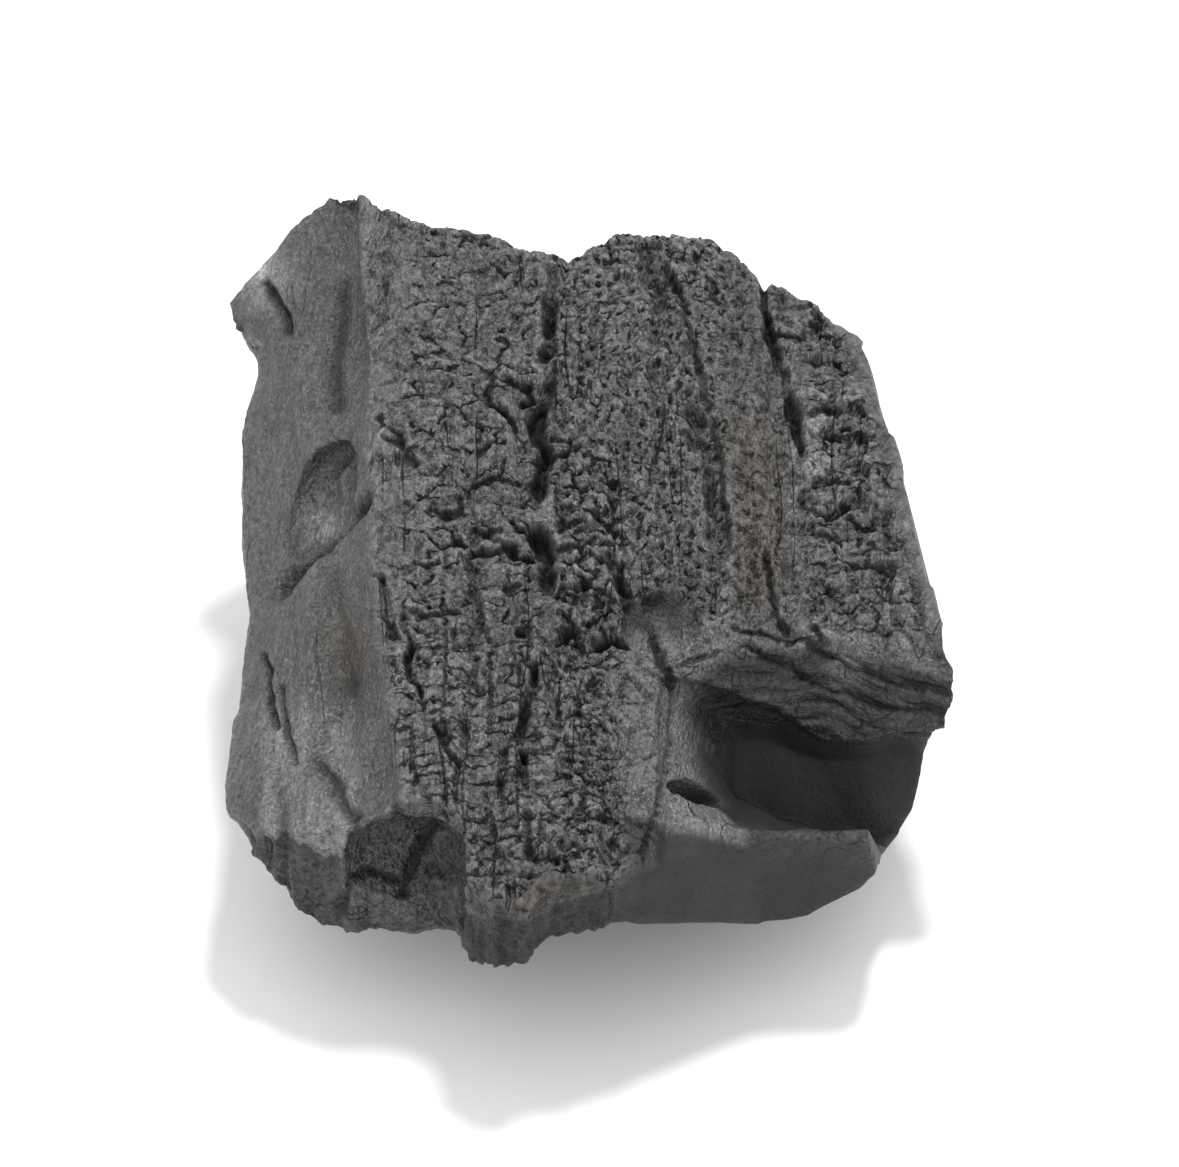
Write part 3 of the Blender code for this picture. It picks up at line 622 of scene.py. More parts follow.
def charred_wood(colours, sizes):
    """Material of charred wood: cracks, pores, streaks and stains, with painted shade, painted light and painted
    glints.
    """
    material = bpy.data.materials.new("charred_wood")
    material.use_nodes = True
    material.node_tree.nodes.clear()
    net = Net(material.node_tree)

    def attribute(name, output="Fac"):
        return net.value("ShaderNodeAttribute", output=output, attribute_name=name)

    def opaque(value):
        return (*value, 1)

    place = attribute("wood", "Vector")
    found = bark_patterns(net, place, sizes, 0.7)
    torn, worn, smooth, lip, sheen = [attribute(name) for name in ("torn", "worn", "smooth", "lip", "sheen")]
    shown = [(found["block"], attribute("squares"))]
    shown += [(found[name], attribute(mask)) for name, mask, *_ in CELLS]
    layers = lip_layers(net, place)
    crack = split_lines(net, place) * (1 - net.math("MAXIMUM", smooth, worn * 0.6))
    crack = sum([pattern["Crack"] * mask for pattern, mask in shown], crack) + net.ramp(layers, 0.4, 0.34) * lip
    crack = net.math("MAXIMUM", net.math("MINIMUM", crack, 1.0), attribute("crack"))
    tone = sum((pattern["Tone"] - 0.5) * mask for pattern, mask in shown)
    tilt = sum(pattern["Tilt"] * mask for pattern, mask in shown[1:])

    grain = net.cells({"Vector": net.scaled(place, (0.55, 0.7, 0.55))})
    grain_luck = net.parts(grain["Color"])[0] - 0.5
    fine = net.noise(place, (0.45, 0.6, 0.45), 2.0, 0.6, 23.0)
    grit = net.bumps(place, (0.2, 0.25, 0.2), 1.0, 0.6, 29.0)
    speck = net.bumps(place, (1.1, 1.3, 1.1), 2.0, 0.6, 21.0)
    streak = net.bumps(slanted(net, place), (0.55, 9, 0.55), 3.0, 0.65, 31.0)
    wide = net.bumps(place, (9, 14, 9), seed=37.0)

    rough_skin = 1 - smooth * 0.9
    side = torn + worn + lip * 0.7 + attribute("grained") * 0.6
    coarse = rough_skin * (1 - side * 0.55)
    # Brightness of the colour: the wood's own tone, streaks and grain, then painted light and shade
    light = (1 + wide) * (1 + streak * (0.7 + side * 1.6))
    light *= 1 + speck * coarse * 1.5 + grain_luck * coarse * 0.9 + (fine - 0.5) * rough_skin * 1.7 + grit * 0.5
    # Painted shade: lighter where the skin stands out, darker where it lies low; then the painted light and shade
    # of the shade mask
    light *= (1 + tone * 0.45) * (1 + attribute("raised") * 0.5) * attribute("shade")
    light = net.math("MAXIMUM", light, LEAST_LIGHT)

    stain = attribute("stain") * net.ramp(fine, 0.3, 0.6, 0.4, 1.0)
    base = net.mix(stain, opaque(colours.char), opaque(colours.stain))
    # Painted shade: cracks are darkened towards the crack shade colour
    base = net.mix(crack * 0.8, net.scale(base, light), opaque(colours.painted_crack_shade))
    # Painted glints: bright specks in the colour where the sheen is
    painted_glints = net.ramp(net.noise(place, (0.4, 0.55, 0.4), 1.0, 0.5, 47.0), 0.61, 0.68) * (1 - crack) * sheen
    base = net.mix(painted_glints * 0.8, base, opaque(colours.painted_glint))
    roughness = net.ramp(fine, 0.3, 0.7, 0.42, 0.62) + crack * 0.25
    coat = sheen * (1 - crack) * net.ramp(fine, 0.35, 0.65, 0.5, 1.0)
    height = (
        tilt * 0.5 - crack * 0.9 + fine * rough_skin * 0.7 + grit * 0.35 + speck * coarse * 1.2
        - grain["Distance"] * coarse * 0.8 + layers * lip * 2.0 + streak * (side + 0.3) * 0.8)
    bump = net.value("ShaderNodeBump", {"Height": height, "Strength": 1.0, "Distance": FINE_RELIEF})
    shader = net.node("ShaderNodeBsdfPrincipled", {
        "Base Color": base, "Roughness": roughness, "Coat Weight": coat, "Normal": bump, "Coat Normal": bump})
    for name, value in SHEEN:
        shader.inputs[name].default_value = value
    net.node("ShaderNodeOutputMaterial", {"Surface": Value(net, shader.outputs[0])})
    return material


def wood_to_world():
    """Matrix from the wood axes (x, s, h) in millimetres to the world in metres."""
    place = Matrix.Translation(Vector((*CENTRE_SHIFT, BARK_HEIGHT)) * MM)
    return place @ Matrix.Rotation(GRAIN_TILT, 4, "X") @ Matrix.Scale(MM, 4)


def add_object(name, data):
    obj = bpy.data.objects.new(name, data)
    bpy.context.scene.collection.objects.link(obj)
    return obj


def add_aimed(name, data, place):
    """Object at a place, that looks at the lump."""
    obj = add_object(name, data)
    obj.location = place
    obj.rotation_euler = (Vector(AIM) - Vector(place)).to_track_quat("-Z", "Y").to_euler()
    return obj


def mesh_object(name, verts, faces):
    mesh = bpy.data.meshes.new(name)
    mesh.from_pydata(verts, [], faces)
    mesh.update()
    return add_object(name, mesh)


def loft(name, rings):
    """Closed body through rings of equal length, with flat caps, facing out."""
    verts = [p for ring in rings for p in ring]
    n = len(rings[0])
    faces = [tuple(range(n)), tuple(reversed(range(len(verts) - n, len(verts))))]
    for r in range(len(rings) - 1):
        for i in range(n):
            j = (i + 1) % n
            faces.append((r * n + j, r * n + i, (r + 1) * n + i, (r + 1) * n + j))
    obj = mesh_object(name, verts, faces)
    bm = bmesh.new()
    bm.from_mesh(obj.data)
    bmesh.ops.triangulate(bm, faces=bm.faces)
    bmesh.ops.recalc_face_normals(bm, faces=bm.faces)
    bm.to_mesh(obj.data)
    bm.free()
    return obj


def along_edge(edge, s):
    """Place (x, h) of a long edge at s."""
    stations = [p[0] for p in edge]
    return np.interp(s, stations, [p[1] for p in edge]), np.interp(s, stations, [p[2] for p in edge])


def split_block():
    """The block between its long edges."""
    rings = []
    for s in np.arange(GRAIN_FRONT, GRAIN_BACK + 0.1, STATION_STEP):
        ring = []
        for edge in LONG_EDGES:
            x, h = along_edge(edge, s)
            ring.append((x, s, h))
        rings.append(ring)
    return loft("charcoal_skin", rings)


def end_cutter(name, plan, lean, outward):
    """The wood beyond a broken end: a prism over its plan, that leans along s for each mm down."""
    outline = list(plan) + [(plan[-1][0], outward), (plan[0][0], outward)]
    return loft(name, [[(x, s - lean * h, h) for x, s in outline] for h in (CUTTER_TOP, CUTTER_LOW)])


def corner_cutter():
    """The wood missing from the front right corner, with its lip left overhanging."""
    rings = []
    for x, profile in CORNER:
        back, front = profile[0], profile[-1]
        ring = [(x, back[0] + 1, CUTTER_TOP)] + [(x, s, h) for s, h in profile] + [(x, front[0], CUTTER_TOP)]
        rings.append(ring)
    return loft("corner_cutter", rings)


def ball_cutter(name, centre, radii, turn=0.0):
    bm = bmesh.new()
    bmesh.ops.create_icosphere(bm, subdivisions=4, radius=1.0)
    place = Matrix.Translation(Vector(centre)) @ Matrix.Rotation(turn, 4, "Z") @ Matrix.Diagonal((*radii, 1))
    bm.transform(place)
    mesh = bpy.data.meshes.new(name)
    bm.to_mesh(mesh)
    bm.free()
    return add_object(name, mesh)


def cut(body, cutter):
    """Takes the cutter out of the body and removes it."""
    boolean = body.modifiers.new("cut", "BOOLEAN")
    boolean.operation = "DIFFERENCE"
    boolean.solver = "EXACT"
    boolean.object = cutter
    apply_modifiers(body)
    bpy.data.objects.remove(cutter, do_unlink=True)


def apply_modifiers(obj):
    graph = bpy.context.evaluated_depsgraph_get()
    mesh = bpy.data.meshes.new_from_object(obj.evaluated_get(graph))
    obj.modifiers.clear()
    old = obj.data
    obj.data = mesh
    bpy.data.meshes.remove(old)


def even_skin(body, size):
    remesh = body.modifiers.new("even_skin", "REMESH")
    remesh.mode = "VOXEL"
    remesh.voxel_size = size
    apply_modifiers(body)


def ramp(v, low, high):
    """0 below low, 1 above high, smooth between."""
    t = np.clip((v - low) / (high - low), 0, 1)
    return t * t * (3 - 2 * t)


def fall(v, low, high):
    """1 below low, 0 above high, smooth between."""
    return 1 - ramp(v, low, high)


def band(v, low, high, soft):
    """1 between low and high, 0 outside, with soft edges."""
    return ramp(v, low - soft, low + soft) * fall(v, high - soft, high + soft)


def near_path(x, s, path, half_width):
    """1 on a path of straight runs, fading to 0 beside it."""
    nearest = np.full(len(x), np.inf)
    for (x0, s0), (x1, s1) in zip(path, path[1:]):
        dx, ds = x1 - x0, s1 - s0
        t = np.clip(((x - x0) * dx + (s - s0) * ds) / (dx * dx + ds * ds), 0, 1)
        nearest = np.minimum(nearest, np.hypot(x - x0 - t * dx, s - s0 - t * ds))
    return np.exp(-(nearest / half_width) ** 2)


def rough(x, s, across, along, seed):
    """Smooth noise with bumps of the given size across and along the grain."""
    return np.array([noise.noise(Vector((a / across, b / along, seed))) for a, b in zip(x, s)])


def nodules(x, s, size, seed):
    """Charred blocks: a height for each cell, and how near a point is to the crack round it."""
    height = np.empty(len(x))
    edge = np.empty(len(x))
    for i, (a, b) in enumerate(zip(x, s)):
        distances, points = noise.voronoi(Vector((a / size, b / size, seed)))
        height[i] = noise.cell(points[0] * 7)
        edge[i] = distances[1] - distances[0]
    return height, edge


def bark_relief(x, s):
    """Height of the bark over the block's flat top, and how deep a point lies in a crack."""
    height = BARK_ARCH * (1 - ((x - BARK_MIDDLE) / BARK_HALF_WIDTH) ** 2)
    for middle, half_width, front, back, rise in SWELLINGS:
        along = ramp(s, front - 2, front + 2) * fall(s, back - 4, back + 4)
        height += rise * np.exp(-((x - middle) / half_width) ** 2) * along
    height += SWELL_HEIGHT * rough(x, s, 7, 26, 0.5)
    height += RIB_HEIGHT * rough(x, s, 3, 45, 6.5)
    block, gap = nodules(x + 0.8 * rough(x, s, 3, 3, 2.5), s, BLOCK_SIZE, 4.5)
    height += BLOCK_STEP * block - BLOCK_GAP * fall(gap, 0.0, 0.22)
    wobble = 0.8 * rough(x, s, 2.6, 3.4, 8.5) + 0.6 * rough(x, s, 1.6, 2.0, 14.5)
    open_share = np.clip(0.75 + 1.5 * rough(x, s, 4, 3.5, 16.5), *FURROW_OPEN)
    inside = np.zeros(len(x))
    for path, half_width, depth in CRACKS:
        near = near_path(x + wobble, s + wobble, path, FURROW_NARROWING * half_width) * open_share
        height -= depth * near
        # A crack gets more painted shade the deeper it is
        inside = np.maximum(inside, near * min(1.0, depth / PAINTED_SHADE_DEPTH))
    wobble = 0.5 * rough(x, s, 1.2, 1.2, 12.5)
    for depth, path in FINE_CRACKS:
        near = near_path(x + wobble, s + wobble, path, FINE_CRACK_HALF_WIDTH)
        height -= depth * near
        inside = np.maximum(inside, near)
    return height, inside


def clean_corner(x, s):
    """1 in the front right corner, where the wood broke smooth."""
    return ramp(x, 2, 8) * fall(s, -26, -20)


def bark_weight(x, s, h, rise):
    """1 on the bark and 0 on every split, broken or scooped face. It fades slowly down a steep wall."""
    left_x, left_h = along_edge(BARK_LEFT, s)
    right_x, right_h = along_edge(BARK_RIGHT, s)
    share = np.clip((x - left_x) / (right_x - left_x), 0, 1)
    under = h - left_h - share * (right_h - left_h)
    wall = fall(rise, 0.3, 0.7) * (1 - clean_corner(x, s))
    weight = np.maximum(ramp(under, -1.2, -0.3), wall * ramp(under, -9, -0.3))
    return weight * ramp(x - left_x, -2, 1.5) * ramp(right_x - x, -1, 3)


def torn_weight(x, s, h):
    """1 where the wood tore rough, 0 on the clean breaks, the thin rims and the flat spot it rests on."""
    thin_front = 0.75 * fall(s, -54, -42)
    left_tip = 0.8 * ramp(-x, 28, 44) * ramp(s, 24, 36)
    over_floor = BARK_HEIGHT + s * math.sin(GRAIN_TILT) + h * math.cos(GRAIN_TILT)
    return (1 - clean_corner(x, s)) * (1 - thin_front) * (1 - left_tip) * ramp(over_floor, 1.5, 8)


def rough_split(x, s, h):
    """Ridges, splinters and torn flakes that run with the grain, on the flanks and the belly."""
    around = np.arctan2(h - GIRTH_MIDDLE, x) * GIRTH_RADIUS
    ridges = RIDGE_HEIGHT * (0.5 - np.abs(rough(around, s, 14, 90, 21.5)))
    ridges += FINE_RIDGE_HEIGHT * (0.5 - np.abs(rough(around, s, 5, 40, 23.5)))
    flake, gap = nodules(around / 2 + 2 * rough(around, s, 9, 20, 25.5), s / 5, 6.0, 27.5)
    splinter = ramp(rough(around, s, 11, 80, 41.5), -0.04, 0.04) + ramp(rough(around, s, 9, 60, 43.5), 0.06, 0.14)
    below_flank = np.maximum(ramp(-h, 14, 20), ramp(x, 0, 20))
    height = ridges + FLAKE_STEP * flake * ramp(gap, 0, 0.25) + SPLINTER_STEP * (splinter - 0.7) * below_flank
    wobble = 1.2 * rough(x, s, 5, 4, 29.5)
    inside = np.zeros(len(x))
    for path, half_width, depth in SIDE_CRACKS:
        near = near_path(x, s + wobble, path, half_width)
        height -= depth * near
        inside = np.maximum(inside, near ** 2)
    return height - SPLIT_LET_IN, inside


def rough_break(x, h):
    """Bundles of fibre that tore off at different lengths, and radial cracks, on the ends."""
    sideways = x + 2 * rough(x, h, 7, 7, 31.5)
    upwards = 0.6 * h + 2 * rough(x, h, 6, 6, 37.5)
    bundle, gap = nodules(sideways, upwards, BUNDLE_SIZE, 33.5)
    height = BUNDLE_STEP * bundle * ramp(gap, 0, 0.3) + 1.6 * rough(x, h, 12, 16, 35.5)
    for place, drift, depth in END_CRACKS:
        offset = x - place + drift * h + 1.2 * rough(x, h, 20, 9, 39.5)
        height -= depth * np.exp(-(offset / 1.1) ** 2) * fall(-h, 25, 50)
    return height - BREAK_LET_IN


def neighbours(mesh):
    """Pairs of vertices joined by an edge."""
    edges = np.empty(len(mesh.edges) * 2, np.int32)
    mesh.edges.foreach_get("vertices", edges)
    return edges.reshape(-1, 2).T


def spread(values, pairs, rounds):
    """Values of each vertex averaged with its neighbours, over and over."""
    one, other = pairs
    count = len(values)
    share = 1.0 + np.bincount(one, minlength=count) + np.bincount(other, minlength=count)
    for _ in range(rounds):
        total = values.copy()
        for axis in range(values.shape[1]):
            total[:, axis] += np.bincount(one, values[other, axis], count)
            total[:, axis] += np.bincount(other, values[one, axis], count)
        values = total / share[:, None]
    return values


def vertex_array(mesh, source, name):
    """Vectors of the vertices, as rows."""
    values = np.empty(len(mesh.vertices) * 3, np.float32)
    source.foreach_get(name, values)
    return values.reshape(-1, 3).astype(float)


def smooth_normals(mesh, rounds):
    """Unit normals of the vertices, averaged with their neighbours over and over."""
    normal = spread(vertex_array(mesh, mesh.vertex_normals, "vector"), neighbours(mesh), rounds)
    return normal / np.maximum(np.linalg.norm(normal, axis=1, keepdims=True), 1e-9)


def warp(x, s, h, across, along, seed):
    """A smooth sideways push for each point, so that no face folds over its neighbour."""
    push = np.empty((len(x), 3))
    for axis, apart in enumerate((0, 31, 67)):
        push[:, axis] = [noise.noise(Vector((a / across + seed, b / along + apart, c / across)))
                         for a, b, c in zip(x, s, h)]
    return push


def paint(mesh, name, values):
    """Keeps a value or a vector for each vertex, for the nodes to read."""
    kind, key = ("FLOAT_VECTOR", "vector") if np.ndim(values) == 2 else ("FLOAT", "value")
    layer = mesh.attributes.new(name, kind, "POINT")
    layer.data.foreach_set(key, np.ascontiguousarray(values, np.float32).ravel())


def spot(x, s, place, across, along):
    """1 at a place, fading to 0 at the given distances."""
    return np.exp(-((x - place[0]) / across) ** 2 - ((s - place[1]) / along) ** 2)


def height_seen(s, h):
    """Height of a point in the view from the front, where the lump is drawn."""
    return s * math.sin(VIEW_SLANT) + h * math.cos(VIEW_SLANT)


def drawn_lines(x, seen):
    """Depth of the drawn lines at each point."""
    depth = np.zeros(len(x))
    wobble = 0.35 * rough(x, seen, 1.5, 1.5, 61.5)
    for half_width, deep, path in DRAWN_LINES:
        depth = np.maximum(depth, deep * near_path(x + wobble, seen + wobble, path, half_width))
    return depth


# Bands of the bark from left to right, as (sides, softness), and how far their sides wander
BARK_BANDS = ((-34, -26, 1), (-26, -7, 0.8), (-5, 19, 0.8), (19, 29, 1.2), (30.5, 50, 1.0))
BAND_WANDER = 1.6
# The painted highlight on the back left tip, as (x, height seen) and how strong it is, and the most light that the
# painted shade takes away
TIP_PLACE = (-47, 29.5)
TIP_PAINTED_LIGHT = 2.6
MOST_SHADE = 0.75

# Spots of the skin, as (what they change, how much, kind of skin, middle, half widths). Stain spots are brown
# stains, glow spots are painted light on facets turned to the lamp, and dark spots are mostly painted shade in
# hollows and under edges, with darker patches beside the left stain. The middle is (x, s) along the grain, or
# (x, height seen) from the front.
GRAIN_SPOTS = (
    ("stain", 0.35, "split", (-38, 14), (5, 9)),
    ("stain", 0.5, "all", (-14, 4), (2.5, 4)),
    ("stain", 0.4, "all", (-18, -18), (3, 5)),
    ("glow", 0.14, "bark", (-20, -38), (9, 13)),
)
SEEN_SPOTS = (
    ("stain", 1.0, "split", (-34.2, -23.5), (4.2, 6)),
    ("glow", 0.2, "side", (-40, -38), (6, 9)),
    ("glow", 0.8, "side", (-38.2, -6.4), (2.2, 2)),
    ("glow", 0.7, "all", (36, -26), (2.6, 4)),
    ("glow", 0.5, "all", (32, 6), (2.5, 3)),
    ("glow", 0.35, "all", (34, 0), (3, 4)),
    ("glow", 0.4, "all", (14.3, -23.5), (3.8, 2.8)),
    ("dark", 0.35, "split", (-34.6, -28.6), (3, 2)),
    ("dark", 0.15, "split", (-33.8, -23.5), (3, 5)),
    ("dark", 0.6, "all", (9, -18.6), (4.6, 3.4)),
    ("dark", 0.14, "all", (12.5, -22), (5, 4)),
)


def skin_spots(name, x, s, seen, kinds):
    """The spots of one name at each point. kinds tells how much of each kind of skin a point has."""
    total = np.zeros(len(x))
    for table, along in ((GRAIN_SPOTS, s), (SEEN_SPOTS, seen)):
        for spot_name, strength, kind, middle, size in table:
            if spot_name == name:
                total += strength * spot(x, along, middle, *size) * kinds[kind]
    return total


def skin_masks(x, s, h, bark, end, clean):
    """Where each kind of skin shows, from 0 to 1, with the painted light and shade and the sheen of each point."""
    seen = height_seen(s, h)

    def jagged(line, height, across, seed):
        """Height seen of a drawn line at each point, with a jagged course."""
        return np.interp(x, *zip(*line)) + height * rough(x, s, across, 9, seed)

    end = end * np.maximum(ramp(-s, 32, 40), ramp(s, 16, 24))
    end = ramp(end + 0.6 * rough(x, h, 1.6, 5, 53.5), 0.3, 0.7)
    fluted = spot(x, s, (-24.5, -56), 11, 10) * end

    wander = x + BAND_WANDER * rough(x, s, 4, 9, 51.5)
    strip, left_band, middle, brown_band, right_band = [band(wander, *sides) for sides in BARK_BANDS]
    low, plate = fall(s, -28, -22), fall(s, -28, -25)
    knots = band(wander, -5, 3.5, 1.0) * fall(s, 3, 8) * (1 - plate) + 0.5 * plate * band(wander, -8, 2, 1.0)

    brow_low, brow_high = jagged(BROW_LOW, 0.3, 1.5, 63.5), jagged(BROW_HIGH, 0.5, 0.8, 65.5)
    brow = band(x, -18.5, 8, 0.4) * ramp(seen, brow_low - 0.15, brow_low + 0.15)
    brow *= fall(seen, brow_high - 0.2, brow_high + 0.2)
    under_brow = band(x, -18.5, 20, 0.6) * ramp(brow_low - seen, -0.1, 0.5) * ramp(-s, 40, 44)
    bark = bark * (1 - brow) * (1 - under_brow)
    loose = bark * (1 - clean)
    seen_flank = ramp(-x, 22, 30) * ramp(h, -26, -17)
    split = 1 - bark
    side = split * (1 - end) * (1 - clean)
    front = split * end * (1 - clean)

    lip = clean * split * band(x, 15, 60, 3) * band(s, -37, -22, 1.2) * ramp(h, -19, -15)
    hollow = clean * ramp(-h, 9, 14) * fall(-h, 40, 55) * ramp(s, -53, -50) * (1 - lip)
    lens = clean * fall(s, -54.5, -52.5)
    ledge = clean * (1 - lip) * (1 - hollow) * (1 - lens) * split
    rim = ramp(x, 20, 24)

    edge = jagged(TONGUE_EDGE, 0.9, 0.9, 57.5)
    tongue = band(x, -46.5, -33, 0.8) * ramp(seen, edge - 0.3, edge + 0.3) * fall(seen, -38, -29) * split
    low_left = front * ramp(-s, 30, 40) * (1 - brow) * (1 - tongue)

    kinds = {"all": 1, "bark": bark, "split": split, "side": side}
    stain = skin_spots("stain", x, s, seen, kinds) + 0.6 * brow
    stain += 0.8 * band(x, 19, 28, 2.5) * band(s, -21, 12, 5) * bark
    # Painted light: facets turned to the lamp, the lit ledge, the highlight on the back left tip and the lit tongue
    # of torn wood, with a little overall tone for the bark and the brown band
    glow = skin_spots("glow", x, s, seen, kinds) + 0.12 * bark + 0.45 * ledge * (1 - rim) - 0.1 * brow
    glow += TIP_PAINTED_LIGHT * spot(x, seen, TIP_PLACE, 3, 3.5) * (1 + 1.5 * rough(x, seen, 0.8, 2.5, 59.5))
    glow += tongue * (0.45 + 0.9 * rough(x, s, 0.7, 9, 55.5) + 0.5 * front)
    glow -= 0.2 * brown_band * bark * ramp(s, -22, -18)
    # Painted shade: the hollow under the lip, the lens, the lip and the low front faces turned away from the lamp,
    # the wood under the brow and shaded spots
    dark = skin_spots("dark", x, s, seen, kinds) + 0.62 * hollow + 0.7 * lens + 0.54 * lip
    dark += 0.45 * under_brow * (1 - lens) + 0.08 * side * seen_flank + 0.4 * ledge * rim * ramp(-s, 44, 50)
    dark += low_left * (0.22 + 0.12 * ramp(-x, 33, 37) - 0.2 * fluted)
    # Split faces get less coat and fewer painted glints
    dull = 0.35 * split * (1 - seen_flank) * (1 - clean)

    pores = middle * (1 - 0.3 * knots) + 0.5 * brown_band + 0.3 * left_band + 0.3 * right_band
    cracked = left_band * (1 - 0.8 * low) + 0.6 * right_band + 0.3 * brown_band + 0.5 * plate + 0.35 * middle
    plain = split - 0.6 * seen_flank - 0.5 * clean - 0.4 * front * ramp(-s, 30, 40)
    return {
        "bark": loose,
        "squares": left_band * loose * (0.2 + 0.7 * low),
        "nodules": knots * loose,
        "lumpy": right_band * loose,
        "pores": loose * np.clip(pores, 0, 1),
        "cracked": loose * np.clip(cracked, 0, 1),
        "torn": side * (1 - seen_flank),
        "worn": side * seen_flank + 0.5 * strip * bark + 0.35 * brown_band * bark,
        "broken": front * (1 - 0.7 * fluted),
        "smooth": np.clip(hollow + lens, 0, 1) * split,
        "grained": ledge,
        "lip": lip,
        "plain": np.clip(plain, 0, 1),
        "stain": np.clip(stain, 0, 1),
        # Painted light and shade, which the colour is multiplied by
        "shade": 1 + glow - np.clip(dark, 0, MOST_SHADE),
        # Coat weight, and where the painted glints show
        "sheen": np.clip(0.55 + glow - 1.4 * dark - dull, 0, 1),
    }


# Rounds of averaging for the facing of a point, for the lean of the whole side and for the skin round a point
FACING_ROUNDS = 8
LEAN_ROUNDS = 36
RAISED_ROUNDS = 10
RAISED_HEIGHT = 0.35
PLAIN_STEPS = 4


def shape_skin(body):
    """Raises the bark, roughens the split and broken faces and bends the whole block a little."""
    mesh = body.data
    place = vertex_array(mesh, mesh.vertices, "co")
    x, s, h = place.T.copy()
    paint(mesh, "wood", place)
    facing = smooth_normals(mesh, FACING_ROUNDS)
    lean = smooth_normals(mesh, LEAN_ROUNDS)
    bark = bark_weight(x, s, h, facing[:, 2])
    on_bark = bark > 0
    inside = np.zeros(len(x))
    height, inside[on_bark] = bark_relief(x[on_bark], s[on_bark])
    place[on_bark, 2] += bark[on_bark] * height
    on_end = ramp(np.abs(lean[:, 1]), 0.3, 0.55)
    split, in_split = rough_split(x, s, h)
    side = (1 - on_end) * split + on_end * rough_break(x, h)
    place += (side * (1 - bark) * torn_weight(x, s, h))[:, None] * lean
    lines = drawn_lines(x, height_seen(s, h)) * ramp(facing[:, 2] - 0.3 * facing[:, 1], 0, 0.2)
    place -= lines[:, None] * facing
    place += WARP_WIDE * warp(x, s, h, 22, 26, 3.1)
    place += WARP_FINE * warp(x, s, h, 5, 70, 9.7)
    mesh.vertices.foreach_set("co", place.ravel())
    clean = clean_corner(x, s)
    for name, values in skin_masks(x, s, h, bark, on_end, clean).items():
        paint(mesh, name, values)
    in_split *= (1 - bark) * ramp(-x, 24, 28) * ramp(h, -22, -16)
    # The cracks, which the material darkens with painted shade
    paint(mesh, "crack", np.clip(np.maximum.reduce([inside * bark, 0.8 * in_split, lines]), 0, 1))
    mesh.update()


def mark_raised(mesh):
    """Keeps how far each point stands out of the skin round it, from -1 to 1. The material paints shade from it."""
    place = vertex_array(mesh, mesh.vertices, "co")
    around = spread(place, neighbours(mesh), RAISED_ROUNDS)
    out = ((place - around) * vertex_array(mesh, mesh.vertex_normals, "vector")).sum(axis=1)
    paint(mesh, "raised", np.clip(out / RAISED_HEIGHT, -1, 1))


def drop_crumbs(bm):
    """Takes out every loose bit, so that only the largest one stays."""
    bits, seen = [], set()
    for start in bm.verts:
        if start in seen:
            continue
        bit, edge = {start}, [start]
        while edge:
            near = {e.other_vert(v) for v in edge for e in v.link_edges} - bit
            bit |= near
            edge = list(near)
        seen |= bit
        bits.append(bit)
    bits.sort(key=len)
    bmesh.ops.delete(bm, geom=[v for bit in bits[:-1] for v in bit], context="VERTS")


def trim_to_floor(body):
    """Flat spot on the belly, where the lump rests."""
    bm = bmesh.new()
    bm.from_mesh(body.data)
    geom = bm.verts[:] + bm.edges[:] + bm.faces[:]
    bmesh.ops.bisect_plane(bm, geom=geom, plane_co=(0, 0, 0), plane_no=(0, 0, 1), clear_inner=True, dist=1e-7)
    edges = [e for e in bm.edges if e.is_boundary]
    bmesh.ops.holes_fill(bm, edges=edges, sides=0)
    bmesh.ops.triangulate(bm, faces=[f for f in bm.faces if len(f.verts) > 3])
    drop_crumbs(bm)
    bm.to_mesh(body.data)
    bm.free()


def thin_out(body, triangles):
    """Fewer faces, and most of them left on the bark and on the faces beside it."""
    mesh = body.data
    mesh.calc_loop_triangles()
    plain = np.empty(len(mesh.vertices), np.float32)
    mesh.attributes["plain"].data.foreach_get("value", plain)
    group = body.vertex_groups.new(name="plain")
    for step in range(PLAIN_STEPS + 1):
        picked = np.flatnonzero(np.rint(plain * PLAIN_STEPS) == step)
        if len(picked):
            group.add(picked.tolist(), step / PLAIN_STEPS, "REPLACE")
    decimate = body.modifiers.new("thin_out", "DECIMATE")
    decimate.vertex_group = group.name
    decimate.vertex_group_factor = 1.0
    decimate.decimate_type = "COLLAPSE"
    decimate.ratio = min(1.0, triangles / len(mesh.loop_triangles))
    apply_modifiers(body)


class CHARCOAL_OT_lump(bpy.types.Operator):
    """Makes the lump: the split block, its hollows, its cracked bark and its torn sides"""

    bl_idname = "charcoal.lump"
    bl_label = "Charcoal Lump"

    def execute(self, context):
        sizes = context.scene.charcoal_sizes
        body = split_block()
        cut(body, end_cutter("front_cutter", FRONT_END, FRONT_LEAN, -CUTTER_FAR))
        cut(body, end_cutter("back_cutter", BACK_END, BACK_LEAN, CUTTER_FAR))
        cut(body, corner_cutter())
        for name, centre, radii, turn in HOLLOWS:
            cut(body, ball_cutter(name, centre, radii, turn))
        even_skin(body, sizes.skin_cell / MM)
        shape_skin(body)
        inputs = {name: getattr(sizes, name.lower().replace(" ", "_")) / MM for name in SKIN_SIZES}
        inputs["Seed"] = SEED
        inputs["Material"] = charred_wood(context.scene.charcoal_colours, inputs)
        raise_skin(body, skin_tree(), inputs)
        mark_raised(body.data)
        body.data.transform(wood_to_world())
        thin_out(body, sizes.triangles)
        trim_to_floor(body)
        body.data.shade_smooth()
        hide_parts("charcoal_lump")
        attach(body, "root")
        return {"FINISHED"}


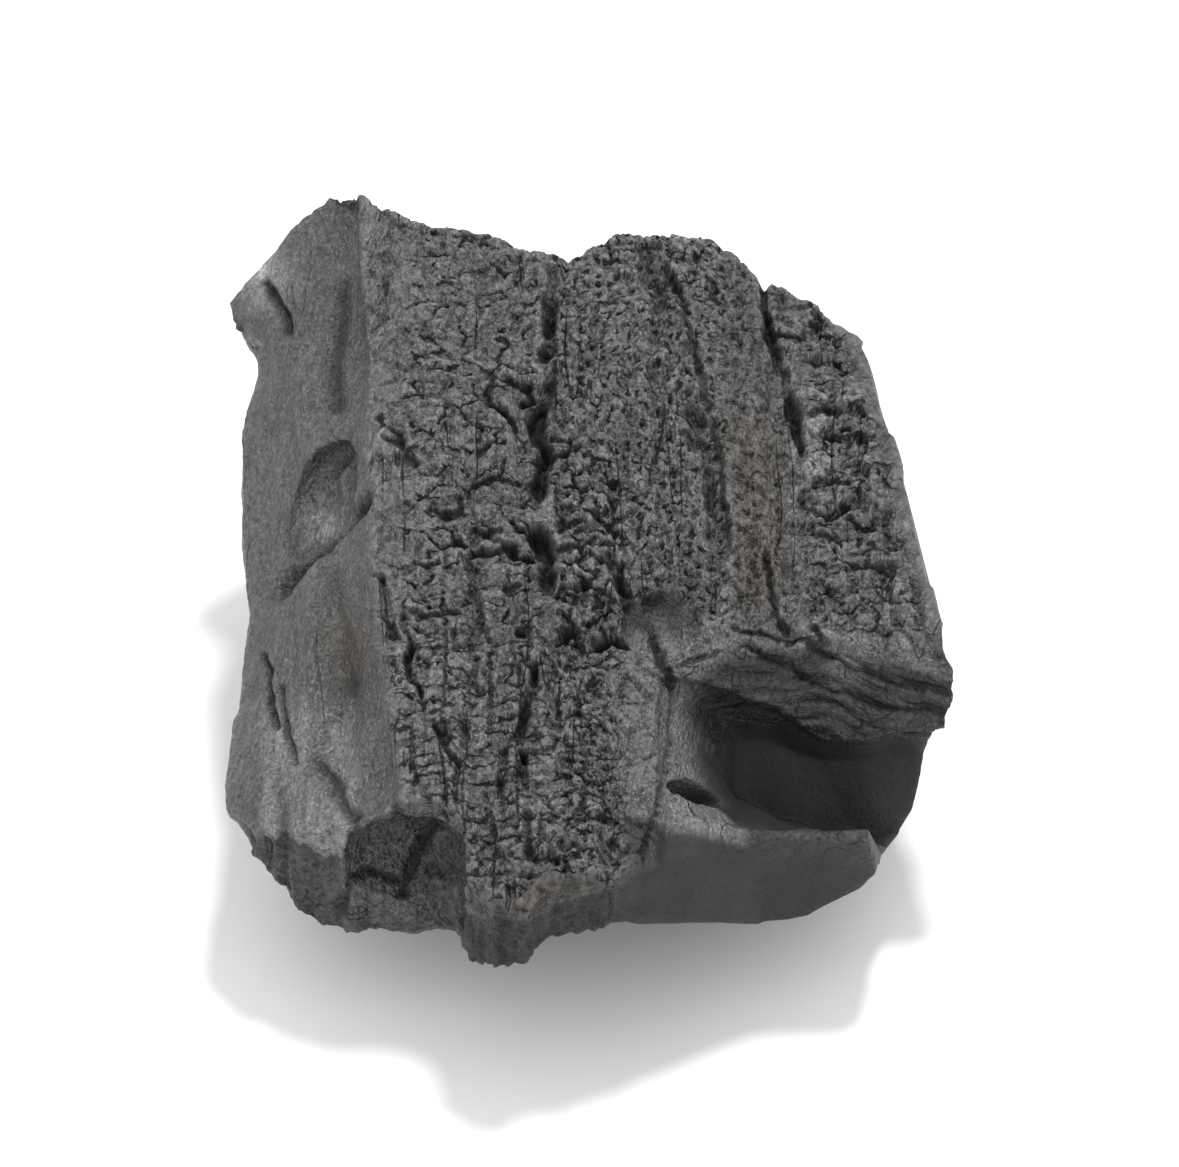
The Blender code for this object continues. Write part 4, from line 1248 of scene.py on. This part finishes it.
class CHARCOAL_OT_studio(bpy.types.Operator):
    """Makes the pale floor, the soft light and the camera"""

    bl_idname = "charcoal.studio"
    bl_label = "Studio"

    def execute(self, context):
        studio = context.scene.charcoal_studio
        corners = [(x * FLOOR_HALF_WIDTH, y * FLOOR_HALF_WIDTH, 0) for x, y in ((-1, -1), (1, -1), (1, 1), (-1, 1))]
        floor = mesh_object("floor", corners, [(0, 1, 2, 3)])
        paper = bpy.data.materials.new("pale_floor")
        paper.use_nodes = True
        shader = paper.node_tree.nodes["Principled BSDF"]
        shader.inputs["Base Color"].default_value = (*studio.floor_colour, 1)
        shader.inputs["Roughness"].default_value = 0.9
        shader.inputs["Specular IOR Level"].default_value = 0.0
        floor.data.materials.append(paper)

        world = bpy.data.worlds.new("soft_sky")
        world.use_nodes = True
        net = Net(world.node_tree)
        sky = world.node_tree.nodes["Background"]
        sky.inputs["Color"].default_value = (1, 1, 1, 1)
        height = net.parts(net.value("ShaderNodeTexCoord", output="Generated"))[2]
        net.join(sky.inputs["Strength"], net.ramp(height, -0.1, 1.0, studio.horizon, studio.sky))
        context.scene.world = world
        context.scene.view_settings.view_transform = "Standard"

        lamp = bpy.data.lights.new("lamp", "AREA")
        lamp.shape = "DISK"
        lamp.size = studio.lamp_size
        lamp.energy = studio.lamp_power
        add_aimed("lamp", lamp, LAMP_PLACE)

        camera = bpy.data.cameras.new("camera")
        camera.lens = camera.sensor_width * studio.camera_distance / studio.view_width
        tilt = studio.camera_elevation
        back = Vector((0, -math.cos(tilt), math.sin(tilt)))
        context.scene.camera = add_aimed("camera", camera, Vector(AIM) + back * studio.camera_distance)
        return {"FINISHED"}


class CHARCOAL_PT_panel(bpy.types.Panel):
    """Sizes, colours and the steps that make the lump"""

    bl_label = "Charcoal"
    bl_space_type = "VIEW_3D"
    bl_region_type = "UI"
    bl_category = "Charcoal"

    def draw(self, context):
        for step in STEPS:
            self.layout.operator(step.bl_idname)
        for name, _ in SETTINGS:
            settings = getattr(context.scene, name)
            for key in settings.__annotations__:
                self.layout.prop(settings, key)


STEPS = (CHARCOAL_OT_studio, CHARCOAL_OT_lump)
SETTINGS = (("charcoal_sizes", CharcoalSizes), ("charcoal_colours", CharcoalColours),
            ("charcoal_studio", CharcoalStudio))


def register():
    for _, group in SETTINGS:
        bpy.utils.register_class(group)
    for name, group in SETTINGS:
        setattr(bpy.types.Scene, name, PointerProperty(type=group))
    for step in STEPS:
        bpy.utils.register_class(step)
    bpy.utils.register_class(CHARCOAL_PT_panel)


def unregister():
    bpy.utils.unregister_class(CHARCOAL_PT_panel)
    for step in reversed(STEPS):
        bpy.utils.unregister_class(step)
    for name, group in reversed(SETTINGS):
        delattr(bpy.types.Scene, name)
        bpy.utils.unregister_class(group)


def main():
    register()
    bpy.ops.charcoal.studio()
    bpy.ops.charcoal.lump()


if __name__ == "__main__":
    main()
